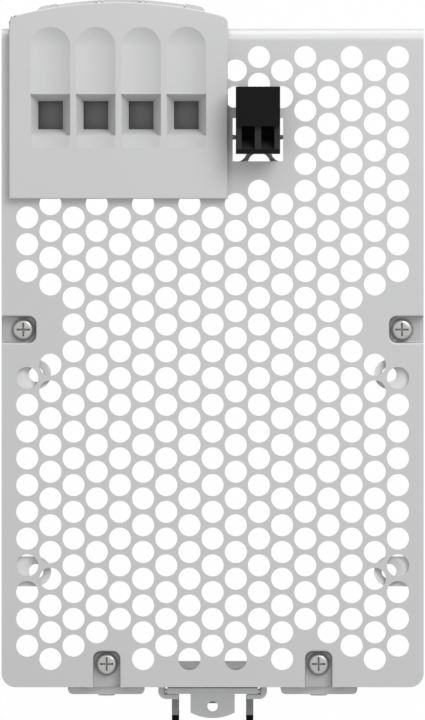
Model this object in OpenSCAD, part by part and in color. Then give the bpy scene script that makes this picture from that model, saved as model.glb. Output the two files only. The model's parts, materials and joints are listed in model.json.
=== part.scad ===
// Power supply for a 35 mm top-hat rail: perforated sheet housing, lever terminals, sliding rail latch.
// Origin: middle of the rail's front face. -Y is the front, +Z the end that carries the latch tab.

/* [Housing] */
// Width of the housing along the rail
body_w = 82; // [82:0.5:84]
// Height of the housing across the rail
body_h = 124; // [124:0.5:126]
// Depth of the housing from its front face to its rear wall
body_d = 128; // [127.5:0.5:129]
// Distance from the rail's front face to the rear wall
foot_d = 5.4; // [5.4:0.1:5.6]
// Sheet thickness of the chassis
sheet = 1; // [0.8:0.1:1]
// Sheet thickness of the covers
skin = 0.8; // [0.7:0.1:0.9]
// Corner radius where the side walls bend into the rear wall
corner_r = 2.7; // [2.4:0.1:3]
// Outer radius of the bend along the front edge
bend_r = 2.3; // [1.8:0.1:2.4]

/* [Perforation] */
// Diameter of a vent hole in the upper wing
hole_d = 4.3; // [4:0.1:4.4]
// Distance between neighbouring vent holes in the upper wing
hole_pitch = 5.2; // [5.2:0.01:5.22]
// Diameter of a vent hole in the lower wing
low_hole_d = 4.5; // [4.2:0.1:4.6]
// Distance between neighbouring vent holes in the lower wing
low_pitch = 5.38; // [5.3:0.01:5.38]

/* [Cover screws] */
// Width of a sunk screw pocket
pocket_w = 5.2; // [5:0.1:5.4]
// Depth of a sunk screw pocket
pocket_depth = 2.3; // [2.2:0.1:2.4]
// Head diameter of a cover screw
screw_head_d = 4.5; // [4.2:0.1:4.6]

/* [Terminals] */
// Distance between neighbouring poles
pole_pitch = 8.8; // [8.8:0.05:8.9]
// Number of output poles, on the upper block
out_poles = 4; // [4]
// Number of input poles, on the lower block
in_poles = 3; // [3]
// How far the upper block's bowed front stands in front of the housing
out_nose = 5.1; // [5:0.1:5.4]
// How far the lower block's bowed front stands in front of the housing
in_nose = 7.8; // [7.6:0.1:8.2]
// How far a block stands proud of its wing
block_proud = 1.8; // [1.7:0.1:2.4]

/* [Rail foot] */
// Height of the rail
rail_h = 35; // [35]
// Thickness of the rail's flange
rail_t = 1; // [1]

/* [Hidden] */
$fn = 48;

gap = 0.1;
half_w = body_w / 2;
top_z = body_h / 2;
rear_y = -foot_d;
front_y = rear_y - body_d;
wall_top = top_z - skin - gap;
wall_front = front_y + skin + gap;

// Vent holes: a 60 degree pattern in columns along Y
column_pitch = hole_pitch * sqrt(3) / 2;
last_column = 8;
last_row = 22;
first_row_y = rear_y - 5.48;
pattern_mid_y = first_row_y - (last_row + 0.5) * hole_pitch / 2;
low_scale = low_pitch / hole_pitch;

// Cover screws and their pockets
side_screw_y = -74.9;
side_screw_x = half_w - 4.2;
side_pocket_l = 6.7;
side_tab = 4;
rear_screw_x = 20.6;
rear_pocket_l = 7;
low_rear_screw_x = 21.3;
low_rear_pocket_l = 5;
pocket_r = 1.5;
pocket_floor = top_z - pocket_depth;
tab_top = pocket_floor - skin - gap / 2;
tab_t = 1.2;
screw_hole_r = 1.6;
screw_shank_r = 1.45;
rear_screw_inset = 4.5;
low_rear_screw_inset = 2.6;
front_screw_xs = [-31.5, -13.5];
front_screw_z = -56;
front_screw_r = 1;
front_screw_l = 2.4;
front_tab_half = 1.5;
front_tab_top = -53;
pad_side_x = 29.7;
pad_side_half = 6.5;
pad_rear_half = 4.5;
pad_rear_l = 9.2;

// Lugs on the side walls
lug_x = 34.3;
lug_ys = [-66.2, -27.9];
lug_r = 2.9;
lug_hole_r = 1.44;
lug_top = wall_top;
lug_sink = 0.5;

// Rear brackets
bracket_x = 20.7;
bracket_w = 14.9;
bracket_t = 1.4;
bracket_leg = 16;
bracket_r = 1;
bracket_tab_half = 4.1;
rivet_r = 1.75;
rivet_shank_r = 1.2;
bracket_rivet_z = 51;

// Terminal blocks
block_mid_x = 18.3;
block_end = 8.05;
block_rear_y = -100.3;
low_block_rear_y = -101.6;
block_edge = 1.4;
block_body_rear_y = -104.4;
block_bottom = 37;
block_top = top_z + block_proud;
block_arc_r = 78;
block_corner_r = 1.5;
entry_y = -116.6;
entry_mouth = [7.4, 8.07];
entry_neck = [4.8, 5.5];
entry_depth = 3;
trough_r = 8;
trough_half = 3.85;
trough_depth = trough_r - sqrt(pow(trough_r, 2) - pow(trough_half, 2));
trough_front_y = -133.7;
sill_rear_y = -110.2;
sill_r = 11;
sill_half = 3.6;
cavity_half = 3.4;
cavity_front_y = -122.4;
cavity_rear_y = -107;
cavity_bottom = 38.4;
cavity_top = 57.5;
lever_half = 3.85;
lever_slot_half = 4;
lever_slot_top = block_top - 4;
lever_top = lever_slot_top - 1.5;
lever_t = 3.4;
pivot_z = 42.5;
pivot_depth = 3.2;
knuckle_r = 1.75;
pin_r = 0.8;
out_front_y = front_y - out_nose;
in_front_y = front_y - in_nose;
bar_half = 2.4;
bar_t = 1.2;
bar_foot_z = 39.8;
bar_front_y = -121.8;
bar_top = 57;
spring_y = -112.4;
spring_z = 46.4;
spring_r = 4.4;
spring_t = 0.5;
spring_leg_y = -119.8;

// Signal plug and its header
plug_x = [-13.1, -4.5];
plug_y = [-122, -109];
plug_head_z = [top_z + 0.3, top_z + 9];
plug_stem_x = [-12, -5.6];
plug_stem_y = [-115.5, -110.4];
plug_stem_bottom = 49;
plug_step_y = -114.3;
plug_pole_x = [-10.7, -6.9];
plug_mouth_z = plug_head_z[1] - 1.2;
plug_entry_half = 1.27;
plug_entry_rear_y = -109.9;
plug_entry_floor = 1.9;
plug_entry_depth = 5.5;
plug_entry_lip = 0.6;
plug_window_x = [-13.7, -3.9];
plug_window_y = [-116, -107.6];
plug_screw_r = 1.5;
plug_screw_z = top_z + 5;
header_x = [-13, -4.6];
header_y = [-116.7, -109.2];
header_z = [46, 58];
header_wall = 0.8;
header_pin_r = 0.5;
header_pin_y = -113;

// Boards
board_t = 1.6;
main_board_y = -102;
main_board_face = main_board_y - board_t;
seat_y = main_board_face - gap;
main_board_x = [-1.8, 38.4];
main_board_half = 58;
signal_face = -118.4;
signal_back = signal_face + board_t;
signal_arm_z = [25.6, 36.4];
signal_stem_x = [-12.8, -4.8];
panel_z = 31;
lamp_x = 12;
lamp_r = 1.5;
trimmer_x = 24;
trimmer_r = 2;
trimmer_half = 3.3;
trimmer_front = -123.2;
trimmer_stub_r = 0.95;

// Rail foot
foot_half = 10.6;
foot_wall = 1;
foot_front_y = -9;
foot_z = [-31, 49];
foot_flange_l = 7;
foot_flange_half = 8;
foot_rivet_x = 5;
ear_lip_x = 6.7;
ear_slot_half = 9.35;
ear_back_y = -2.85;
ear_lip_t = 0.95;
ear_r = 1.5;
ear_bands = [[38, 48], [-12, -2]];
shelf_y = -5.15;
slider_half = 8.85;
slider_y = [-5.05, -3.9];
slider_z = [-11, 51.3];
hook_x = [6.65, 8];
rail_half = rail_h / 2;
hook_gap = rail_t + 0.3;
hook_grip = 2.2;
hook_back_y = 2.7;
hook_inner_z = 13.5;
hook_foot_z = 21.5;
tooth_top_z = 26;
tooth_ramp_z = 19.8;
hook_nose = 0.7;
bead_z = [30, 44];
bead_half = 2.5;
bead_back_y = -1.95;
lug_half = 1.3;
spring_stop_half = 3;
spring_stop_t = 1;
tab_half = 4.3;
tab_end_y = 0.81;
tab_arc_r = 9.2;
tab_hole_r = 1.02;
tab_hole_y = -1.5;
coil_y = -6.5;
coil_r = 1;
coil_wire_r = 0.2;
coil_z = [18, 36.9];
coil_turns = 11;
coil_rings = 8;
coil_sides = 6;

// Inner parts: boxes as lowest and highest corners, and where their pins stand
guide_zs = [-25, 25];
guide_half = 5;
guide_x = 36.5;
foil_x = [38.9, 39.3];
pin_radius = 0.4;
fuse_x = 34.6;
fuse_y = -108;
fuse_z = [-35, -15.5];
fuse_r = 2.5;
fuse_cap_r = 2.8;
fuse_cap_l = 5;
fuse_clip_half = 1.2;
choke_box = [[12, -122, -36], [31, seat_y, -21.5]];
choke_groove_xs = [15.5, 21.5, 27.5];
choke_groove_half = 0.8;
choke_groove_depth = 1.5;
filter_box = [[-1, -117, -35.5], [10.5, seat_y - 1, -17]];
filter_pin_x = 4.8;
filter_pin_zs = [-32, -20];
bridge_box = [[12.5, -120, -20.2], [30.5, -106, -16.2]];
bridge_hole_y = -116;
bridge_hole_r = 1.6;
bridge_pin_xs = [15, 19.3, 23.6, 28];
bulk_can_xs = [13.3, 30.1];
bulk_can_z = -7.3;
bulk_can_r = 8;
bulk_can_l = 25;
output_can_xs = [2.4, 9.6];
output_can_r = 3.4;
output_can_l = 11.5;
sink_z = [-14, 24];
sink_y = [-129, seat_y - 0.6];
sink_half = 0.6;
fin_h = 1.2;
fin_pitch = 4;
fin_t = 1.2;
fin_last_y = -109;
switch_zs = [-6.5, 12];
switch_half = 4.5;
switch_x = [0.65, 4.9];
switch_y = [-122, -107];
switch_pin_x = 2.6;
switch_pin_step = 2.5;
core_y = [-121, -110];
core_x = [6.5, 36.5];
core_z = [1.5, 25];
core_leg = 4;
core_yoke = 3.5;
core_window_w = 7;
winding_box = [[10.7, -126.5, 5.2], [32.3, -105.2, 21.3]];
winding_bore = [[17.3, -121.2, 0], [25.7, -109.8, 30]];
winding_pin_xs = [12.5, 21.5, 30.5];
winding_pin_zs = [7, 19.5];
inductor_box = [[13.6, -115.5, 26.2], [25.4, seat_y, 35.8]];
inductor_groove_x = [17, 22];
inductor_groove_depth = 1;
relay_box = [[26, -113.5, 26.2], [36, seat_y - 0.8, 35.8]];
relay_pin_xs = [27.5, 34.5];
relay_pin_zs = [27.5, 34.5];

// A box between two corners
module slab(lo, hi) {
  translate(lo) cube(hi - lo);
}

// A flat drawing in X and Y, raised from z0 to z1
module along_z(z0, z1) {
  translate([0, 0, z0]) linear_extrude(z1 - z0) children();
}

// A flat drawing in Y and Z, drawn out from x0 to x1
module along_x(x0, x1) {
  translate([x0, 0, 0]) rotate([90, 0, 90]) linear_extrude(x1 - x0) children();
}

// A flat drawing in X and Z, drawn out from y0 to y1
module along_y(y0, y1) {
  translate([0, y1, 0]) rotate([90, 0, 0]) linear_extrude(y1 - y0) children();
}

// A rod along X, Y or Z
module rod_x(x0, x1, y, z, r) {
  translate([x0, y, z]) rotate([0, 90, 0]) cylinder(h = x1 - x0, r = r);
}
module rod_y(y0, y1, x, z, r) {
  translate([x, y0, z]) rotate([-90, 0, 0]) cylinder(h = y1 - y0, r = r);
}
module rod_z(z0, z1, x, y, r) {
  translate([x, y, z0]) cylinder(h = z1 - z0, r = r);
}

// The children and their mirror image across X
module left_and_right() {
  children();
  mirror([1, 0, 0]) children();
}

// A rectangle with round corners
module round_rect(x0, x1, y0, y1, r) {
  translate([x0 + r, y0]) square([x1 - x0 - 2 * r, y1 - y0]);
  translate([x0, y0 + r]) square([x1 - x0, y1 - y0 - 2 * r]);
  for (x = [x0 + r, x1 - r], y = [y0 + r, y1 - r]) translate([x, y]) circle(r);
}

// A pit with four sloping sides, from a mouth at z down to a smaller neck
module sloped_pit(x, y, z, mouth, neck, depth) {
  lift = 0.02;
  grow = [for (a = [0, 1]) (mouth[a] - neck[a]) / 2 * (1 + lift / depth)];
  intersection() {
    along_x(x - mouth[0], x + mouth[0]) pit_side(y, z, neck[1] / 2, grow[1], depth, lift);
    along_y(y - mouth[1], y + mouth[1]) pit_side(x, z, neck[0] / 2, grow[0], depth, lift);
  }
}
module pit_side(mid, z, half, grow, depth, lift) {
  polygon([
    [mid - half, z - depth], [mid + half, z - depth],
    [mid + half + grow, z + lift], [mid - half - grow, z + lift]
  ]);
}

// The housing's plan: straight in front, round corners at the rear, drawn in by an inset
module plan(y0, inset) {
  half = half_w - inset;
  rear = rear_y - inset;
  r = corner_r - inset;
  translate([-half, y0]) square([2 * half, rear - r - y0]);
  translate([-half + r, y0]) square([2 * (half - r), rear - y0]);
  for (x = [-half + r, half - r]) translate([x, rear - r]) circle(r);
}

// Where the hole in column i and row k of the pattern is
function hole_x(i) = i * column_pitch;
function hole_y(i, k) = first_row_y - (i % 2 == 0 ? hole_pitch / 2 : 0) - k * hole_pitch;

// Plain places in the pattern: screw pads, terminal blocks and the plug
function on_screw_pad(x, y) =
  (abs(x) > pad_side_x && abs(y - side_screw_y) < pad_side_half)
  || (abs(abs(x) - rear_screw_x) < pad_rear_half && y > rear_y - pad_rear_l);
function on_block(x, y) = x > -1 && y < block_rear_y;
function on_plug(x, y) =
  abs(x - hole_x(-2)) < 5 && y > plug_window_y[0] - 2.7 && y < plug_window_y[1] + 4.4;

// All vent holes of one wing, spread by a scale about the pattern's middle
module vents(d, spread, has_plug) {
  for (i = [-last_column : last_column], k = [0 : last_row]) {
    x = hole_x(i);
    y = hole_y(i, k);
    if (!on_screw_pad(x, y) && !on_block(x, y) && !(has_plug && on_plug(x, y)))
      translate([x * spread, pattern_mid_y + (y - pattern_mid_y) * spread]) circle(d = d);
  }
}

// One pocket's outline, running in from the edge along -X and cut off at the edge
module pocket_plan(l, grow) {
  intersection() {
    round_rect(-l - grow, l, -pocket_w / 2 - grow, pocket_w / 2 + grow, pocket_r + grow);
    translate([-l - grow, -pocket_w]) square([l + grow, 2 * pocket_w]);
  }
}

// The outlines of a wing's four pockets
module pocket_plans(rear_x, rear_l, grow) {
  left_and_right() {
    translate([half_w, side_screw_y]) pocket_plan(side_pocket_l, grow);
    translate([rear_x, rear_y]) rotate(90) pocket_plan(rear_l, grow);
  }
}

// A wing's four pressed cups, open at the edge
module pocket_cups(rear_x, rear_l) {
  along_z(pocket_floor - skin, pocket_floor) pocket_plans(rear_x, rear_l, skin);
  along_z(pocket_floor - skin, top_z - skin / 2) difference() {
    pocket_plans(rear_x, rear_l, skin);
    pocket_plans(rear_x, rear_l, 0);
  }
}

// The places of a wing's four screws
module screw_places(rear_x, rear_inset) {
  left_and_right() {
    translate([side_screw_x, side_screw_y, 0]) children();
    translate([rear_x, rear_y - rear_inset, 0]) children();
  }
}

// The front sheet with its bend into the wing, seen along X
module front_profile() {
  bend = [front_y + bend_r, top_z - bend_r];
  translate([front_y, -top_z]) square([skin, bend[1] + top_z]);
  intersection() {
    difference() {
      translate(bend) circle(bend_r);
      translate(bend) circle(bend_r - skin);
    }
    translate([front_y, bend[1]]) square(bend_r);
  }
}

// The room that the bend takes from the side walls' front corners, seen along X
module bend_relief() {
  bend = [front_y + bend_r, top_z - bend_r];
  difference() {
    translate([front_y, bend[1]]) square(bend_r);
    translate(bend) circle(bend_r - skin - gap);
  }
}

function block_half(poles) = (poles - 1) * pole_pitch / 2 + block_end;
function pole_x(poles, j) = block_mid_x + ((poles - 1) / 2 - j) * pole_pitch;

// The way of a terminal block's body through the sheet, at its own end of the housing
module block_way(poles) {
  half = block_half(poles) - block_edge + 0.2;
  slab([block_mid_x - half, front_y - 1, block_bottom - 0.2],
       [block_mid_x + half, block_body_rear_y + 0.2, top_z + 1]);
}

module chassis() {
  color([0.70, 0.71, 0.72]) difference() {
    union() {
      along_z(-wall_top, wall_top) difference() {
        plan(wall_front, 0);
        plan(wall_front - 1, sheet);
      }
      for (end = [0, 1]) mirror([0, 0, end]) left_and_right()
        slab([side_screw_x - side_tab, side_screw_y - side_tab, tab_top - tab_t],
             [half_w - sheet / 2, side_screw_y + side_tab, tab_top]);
      left_and_right() for (y = lug_ys) {
        slab([lug_x, y - lug_r, lug_top - tab_t], [half_w - sheet / 2, y + lug_r, lug_top]);
        rod_z(lug_top - tab_t, lug_top, lug_x, y, lug_r);
      }
    }
    for (end = [0, 1]) mirror([0, 0, end]) {
      left_and_right() {
        slab([half_w - 2 * sheet, side_screw_y - pocket_w / 2 - 1.2, tab_top],
             [half_w + 1, side_screw_y + pocket_w / 2 + 1.2, top_z]);
        slab([rear_screw_x - bracket_tab_half - 0.2, rear_y - sheet - 1, tab_top - tab_t - gap],
             [low_rear_screw_x + bracket_tab_half + 0.2, rear_y + 1, top_z]);
        rod_y(rear_y - 2, rear_y + 1, bracket_x, bracket_rivet_z, rivet_shank_r + 0.05);
        rod_z(tab_top - 2 * tab_t, top_z, side_screw_x, side_screw_y, screw_hole_r);
      }
    }
    along_x(-half_w - 1, half_w + 1) bend_relief();
    left_and_right() for (y = lug_ys) {
      rod_z(lug_top - 2 * tab_t, lug_top, lug_x, y, lug_hole_r);
      translate([lug_x, y, lug_top - lug_sink])
        cylinder(h = lug_sink + 0.01, r1 = lug_hole_r, r2 = lug_r - gap);
    }
    slab([-foot_half - 0.15, rear_y - 2, foot_z[0] - gap], [foot_half + 0.15, rear_y + 1, foot_z[1] + gap]);
    foot_rivet_places() rod_y(rear_y - 2, rear_y + 1, 0, 0, rivet_shank_r + 0.05);
  }
}

module front_cover() {
  color([0.78, 0.79, 0.80]) difference() {
    union() {
      along_z(top_z - skin, top_z) difference() {
        plan(front_y + bend_r, 0);
        vents(hole_d, 1, true);
        pocket_plans(rear_screw_x, rear_pocket_l, 0);
      }
      along_x(-half_w, half_w) front_profile();
      pocket_cups(rear_screw_x, rear_pocket_l);
    }
    block_way(out_poles);
    mirror([0, 0, 1]) block_way(in_poles);
    slab([plug_window_x[0], plug_window_y[0], top_z - 2], [plug_window_x[1], plug_window_y[1], top_z + 1]);
    screw_places(rear_screw_x, rear_screw_inset) cylinder(h = top_z, r = screw_hole_r);
    rod_y(front_y - 1, front_y + 2, lamp_x, panel_z, lamp_r + gap);
    rod_y(front_y - 1, front_y + 2, trimmer_x, panel_z, trimmer_r + 0.3);
    front_screw_places() rod_y(front_y - 1, front_y + 2, 0, 0, front_screw_r + 0.1);
  }
}

// Two tabs of the bottom cover stand behind the front sheet and take its lower screws
module front_screw_places() {
  for (x = front_screw_xs) translate([x, 0, front_screw_z]) children();
}

module bottom_cover() {
  color([0.74, 0.75, 0.76]) difference() {
    union() {
      mirror([0, 0, 1]) {
        along_z(top_z - skin, top_z) difference() {
          plan(wall_front, 0);
          vents(low_hole_d, low_scale, false);
          pocket_plans(low_rear_screw_x, low_rear_pocket_l, 0);
        }
        pocket_cups(low_rear_screw_x, low_rear_pocket_l);
      }
      for (x = front_screw_xs)
        slab([x - front_tab_half, wall_front, -top_z],
             [x + front_tab_half, wall_front + skin, front_tab_top]);
    }
    mirror([0, 0, 1]) block_way(in_poles);
    mirror([0, 0, 1]) screw_places(low_rear_screw_x, low_rear_screw_inset)
      cylinder(h = top_z, r = screw_hole_r);
    front_screw_places() rod_y(wall_front - 1, wall_front + 2, 0, 0, front_screw_r + 0.1);
  }
}

// A pan head screw standing on a face at z = 0, its shank pointing down
module pan_screw(head_d, shank_r, shank_l) {
  head_h = head_d * 0.35;
  crown_r = head_d * 0.9;
  arm = head_d * 0.6;
  slot = head_d * 0.16;
  difference() {
    union() {
      intersection() {
        cylinder(h = head_h, d = head_d);
        translate([0, 0, head_h - crown_r]) sphere(crown_r);
      }
      translate([0, 0, -shank_l]) cylinder(h = shank_l + 0.1, r = shank_r);
    }
    for (turn = [0, 90]) rotate(turn)
      translate([-arm / 2, -slot / 2, head_h * 0.4]) cube([arm, slot, head_h]);
  }
}

module top_cover_screws() {
  color([0.80, 0.80, 0.78]) screw_places(rear_screw_x, rear_screw_inset)
    translate([0, 0, pocket_floor]) pan_screw(screw_head_d, screw_shank_r, 5);
}

module bottom_cover_screws() {
  color([0.80, 0.80, 0.78]) mirror([0, 0, 1]) screw_places(low_rear_screw_x, low_rear_screw_inset)
    translate([0, 0, pocket_floor]) pan_screw(screw_head_d, screw_shank_r, 5);
}

module front_screws() {
  color([0.80, 0.80, 0.78]) front_screw_places()
    translate([0, front_y, 0]) rotate([90, 0, 0])
      pan_screw(screw_head_d * 0.9, front_screw_r, front_screw_l);
}

// An angle on the outside of the rear wall: a wide leg on the wall, a narrow one under a pocket
module rear_bracket(screw_x, screw_y, leg_l) {
  difference() {
    union() {
      along_z(top_z - bracket_leg, tab_top) intersection() {
        round_rect(bracket_x - bracket_w / 2, bracket_x + bracket_w / 2,
                   rear_y - bracket_leg, rear_y + bracket_t, bracket_r);
        translate([0, rear_y + 0.05]) square([half_w, bracket_t]);
      }
      slab([screw_x - bracket_tab_half, rear_y - leg_l, tab_top - tab_t],
           [screw_x + bracket_tab_half, rear_y + bracket_t / 2, tab_top]);
    }
    rod_z(tab_top - 2 * tab_t, top_z, screw_x, screw_y, screw_hole_r);
    rod_y(rear_y - 1, rear_y + 3, bracket_x, bracket_rivet_z, rivet_shank_r + 0.05);
  }
}

module rear_brackets() {
  color([0.62, 0.63, 0.64]) left_and_right() {
    rear_bracket(rear_screw_x, rear_y - rear_screw_inset, rear_pocket_l + 0.4);
    mirror([0, 0, 1])
      rear_bracket(low_rear_screw_x, rear_y - low_rear_screw_inset, low_rear_pocket_l + skin);
  }
}

// A rivet along Y with a flat head on the inside and, where there is room, one on the outside
module rivet(y0, y1, inner_h, outer_h) {
  rod_y(y0, y1, 0, 0, rivet_shank_r);
  rod_y(y0 - inner_h, y0, 0, 0, rivet_r);
  if (outer_h > 0) rod_y(y1, y1 + outer_h, 0, 0, rivet_r);
}

module bracket_rivets() {
  color([0.66, 0.66, 0.66]) for (end = [0, 1]) mirror([0, 0, end]) left_and_right()
    translate([bracket_x, 0, bracket_rivet_z])
      rivet(rear_y - sheet - 0.02, rear_y + bracket_t + 0.02, 0.4, 0.4);
}

// A block's plan: straight sides, a bowed front and small round corners
module block_plan(poles, nose_y, rim_y) {
  half = block_half(poles);
  bow = nose_y + block_arc_r;
  corner_x = half - block_corner_r;
  corner_y = bow - sqrt(pow(block_arc_r - block_corner_r, 2) - pow(corner_x, 2));
  touch_x = corner_x * block_arc_r / (block_arc_r - block_corner_r);
  translate([block_mid_x, 0]) {
    intersection() {
      translate([0, bow]) circle(block_arc_r, $fn = 192);
      translate([-touch_x, nose_y]) square([2 * touch_x, rim_y - nose_y]);
    }
    translate([-half, corner_y]) square([2 * half, rim_y - corner_y]);
    for (x = [-corner_x, corner_x]) translate([x, corner_y]) circle(block_corner_r);
  }
}

// A terminal block: rim on the wing, body in the housing, bowed nose with lever slots
module terminal(poles, nose_y, rim_y) {
  half = block_half(poles);
  pivot_y = nose_y + pivot_depth;
  trough_z = block_top + trough_r - trough_depth;
  sill_z = block_top + sqrt(pow(sill_r, 2) - pow(sill_half, 2));
  entry_z = block_top - trough_depth;
  mouth_front_y = entry_y - entry_mouth[1] / 2;
  mouth_rear_y = entry_y + entry_mouth[1] / 2;
  difference() {
    union() {
      along_z(top_z + gap / 2, block_top) block_plan(poles, nose_y, rim_y);
      slab([block_mid_x - half + block_edge, front_y, block_bottom],
           [block_mid_x + half - block_edge, block_body_rear_y, block_top - 1]);
      intersection() {
        along_z(block_bottom, block_top - 1) block_plan(poles, nose_y, rim_y);
        slab([-half_w, nose_y - 1, 0], [half_w, front_y - gap / 2, block_top]);
      }
    }
    for (j = [0 : poles - 1]) {
      x = pole_x(poles, j);
      intersection() {
        union() {
          translate([x, trough_front_y + trough_half, trough_z]) sphere(trough_r);
          rod_y(trough_front_y + trough_half, mouth_rear_y, x, trough_z, trough_r);
        }
        slab([x - trough_half - gap, trough_front_y - gap, entry_z - gap],
             [x + trough_half + gap, mouth_rear_y + gap, block_top + gap]);
      }
      slab([x - trough_half, mouth_front_y, entry_z], [x + trough_half, mouth_rear_y, block_top + 1]);
      intersection() {
        rod_y(mouth_rear_y - 1, sill_rear_y, x, sill_z, sill_r);
        slab([x - trough_half, mouth_rear_y - 1, entry_z], [x + trough_half, sill_rear_y, block_top + gap]);
      }
      sloped_pit(x, entry_y, entry_z, entry_mouth, entry_neck, entry_depth);
      slab([x - entry_neck[0] / 2, entry_y - entry_neck[1] / 2, cavity_top - 1],
           [x + entry_neck[0] / 2, entry_y + entry_neck[1] / 2, block_top]);
      slab([x - cavity_half, cavity_front_y, cavity_bottom], [x + cavity_half, cavity_rear_y, cavity_top]);
      slab([x - bar_half - 0.2, cavity_rear_y - 1, bar_foot_z - 0.2],
           [x + bar_half + 0.2, block_body_rear_y + 1, bar_foot_z + bar_t + 0.2]);
      slab([x - lever_slot_half, nose_y - 1, block_bottom - 1],
           [x + lever_slot_half, pivot_y + knuckle_r + 0.35, lever_slot_top]);
    }
    rod_x(block_mid_x - half + 1.5, block_mid_x + half + 1, pivot_y, pivot_z, pin_r + 0.02);
  }
}

// Steel springs that press each wire on its busbar
module clamps(poles) {
  for (j = [0 : poles - 1]) along_x(pole_x(poles, j) - bar_half, pole_x(poles, j) + bar_half) {
    translate([spring_y, spring_z]) difference() {
      circle(spring_r);
      circle(spring_r - spring_t);
    }
    translate([spring_leg_y, spring_z + spring_r - spring_t]) square([spring_y - spring_leg_y, spring_t]);
  }
}

// Copper bars from each clamp to the main board
module busbars(poles) {
  for (j = [0 : poles - 1]) {
    x = pole_x(poles, j);
    slab([x - bar_half, bar_front_y, bar_foot_z], [x + bar_half, main_board_y + gap, bar_foot_z + bar_t]);
    slab([x - bar_half, bar_front_y, bar_foot_z], [x + bar_half, bar_front_y + bar_t, bar_top]);
  }
}

// The steel pin that a block's levers turn on
module lever_pin(poles, nose_y) {
  half = block_half(poles);
  rod_x(block_mid_x - half + 1.6, block_mid_x + half - gap, nose_y + pivot_depth, pivot_z, pin_r);
}

// One lever: a bowed plate on a knuckle, with a grip along its free end
module lever(poles, nose_y, j) {
  x = pole_x(poles, j);
  pivot_y = nose_y + pivot_depth;
  difference() {
    intersection() {
      along_x(x - lever_half, x + lever_half) {
        translate([pivot_y, pivot_z]) circle(knuckle_r);
        translate([nose_y - 1, pivot_z]) square([pivot_depth + 1, 3]);
        translate([nose_y - 1, pivot_z]) square([lever_t + 1, lever_top - pivot_z]);
      }
      rod_z(0, top_z, block_mid_x, nose_y + block_arc_r, block_arc_r - gap, $fn = 192);
    }
    rod_x(x - lever_half - 1, x + lever_half + 1, pivot_y, pivot_z, pin_r + 0.05);
    rod_x(x - lever_half + 1, x + lever_half - 1, nose_y - 0.6, lever_top - 3, 2);
  }
}

module output_terminal() { color([0.80, 0.81, 0.81]) terminal(out_poles, out_front_y, block_rear_y); }
module output_clamps() { color([0.60, 0.61, 0.62]) clamps(out_poles); }
module output_busbars() { color([0.72, 0.45, 0.20]) busbars(out_poles); }
module output_lever_pin() { color([0.60, 0.61, 0.62]) lever_pin(out_poles, out_front_y); }
module output_lever(j) { color([0.80, 0.81, 0.81]) lever(out_poles, out_front_y, j); }
module input_terminal() {
  color([0.80, 0.81, 0.81]) mirror([0, 0, 1]) terminal(in_poles, in_front_y, low_block_rear_y);
}
module input_clamps() { color([0.60, 0.61, 0.62]) mirror([0, 0, 1]) clamps(in_poles); }
module input_busbars() { color([0.72, 0.45, 0.20]) mirror([0, 0, 1]) busbars(in_poles); }
module input_lever_pin() { color([0.60, 0.61, 0.62]) mirror([0, 0, 1]) lever_pin(in_poles, in_front_y); }
module input_lever(j) { color([0.80, 0.81, 0.81]) mirror([0, 0, 1]) lever(in_poles, in_front_y, j); }

// A wire entry of the plug, seen along X: deep in front, with a ramp up to the rear
module plug_entry() {
  deep_z = plug_mouth_z - plug_entry_depth;
  polygon([
    [plug_step_y, plug_mouth_z + 1], [plug_step_y, deep_z], [plug_step_y + plug_entry_floor, deep_z],
    [plug_entry_rear_y, plug_mouth_z - plug_entry_lip], [plug_entry_rear_y, plug_mouth_z + 1]
  ]);
}

// The pluggable connector: a head over the wing, a stem in the header
module signal_plug() {
  color([0.07, 0.07, 0.08]) difference() {
    union() {
      slab([plug_x[0], plug_y[0], plug_head_z[0]], [plug_x[1], plug_step_y, plug_head_z[1]]);
      slab([plug_x[0], plug_step_y - 1, plug_head_z[0]], [plug_x[1], plug_y[1], plug_mouth_z]);
      slab([plug_stem_x[0], plug_stem_y[0], plug_stem_bottom],
           [plug_stem_x[1], plug_stem_y[1], plug_head_z[0] + 1]);
    }
    for (x = plug_pole_x) {
      along_x(x - plug_entry_half, x + plug_entry_half) plug_entry();
      rod_z(plug_stem_bottom - 1, plug_stem_bottom + 9, x, header_pin_y, header_pin_r + 0.1);
      rod_y(plug_y[0] - 1, plug_step_y - 2, x, plug_screw_z, plug_screw_r + 0.15);
    }
  }
}

module plug_screws() {
  color([0.78, 0.78, 0.76]) for (x = plug_pole_x) difference() {
    rod_y(plug_y[0] + 0.6, plug_step_y - 2.05, x, plug_screw_z, plug_screw_r);
    translate([x, plug_y[0], plug_screw_z]) cube([2.6, 3, 0.5], center = true);
  }
}

module plug_header() {
  color([0.09, 0.09, 0.10]) difference() {
    slab([header_x[0], header_y[0], header_z[0]], [header_x[1], header_y[1], header_z[1]]);
    slab([header_x[0] + header_wall, header_y[0] + header_wall, header_z[0] + 1.5],
         [header_x[1] - header_wall, header_y[1] - header_wall, header_z[1] + 1]);
    for (x = plug_pole_x) rod_z(header_z[0] - 1, header_z[0] + 2, x, header_pin_y, header_pin_r);
  }
}

module header_pins() {
  color([0.75, 0.72, 0.60]) for (x = plug_pole_x)
    rod_z(header_z[0], header_z[1] - 3, x, header_pin_y, header_pin_r);
}

// An L-shaped board: a stem behind the plug and an arm below the upper block
module signal_board() {
  color([0.10, 0.35, 0.18]) along_y(signal_face, signal_back) {
    translate([signal_stem_x[0], signal_arm_z[0]])
      square([signal_stem_x[1] - signal_stem_x[0], header_z[1] - 1 - signal_arm_z[0]]);
    translate([signal_stem_x[0], signal_arm_z[0]])
      square([main_board_x[1] - 1 - signal_stem_x[0], signal_arm_z[1] - signal_arm_z[0]]);
  }
}

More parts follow.
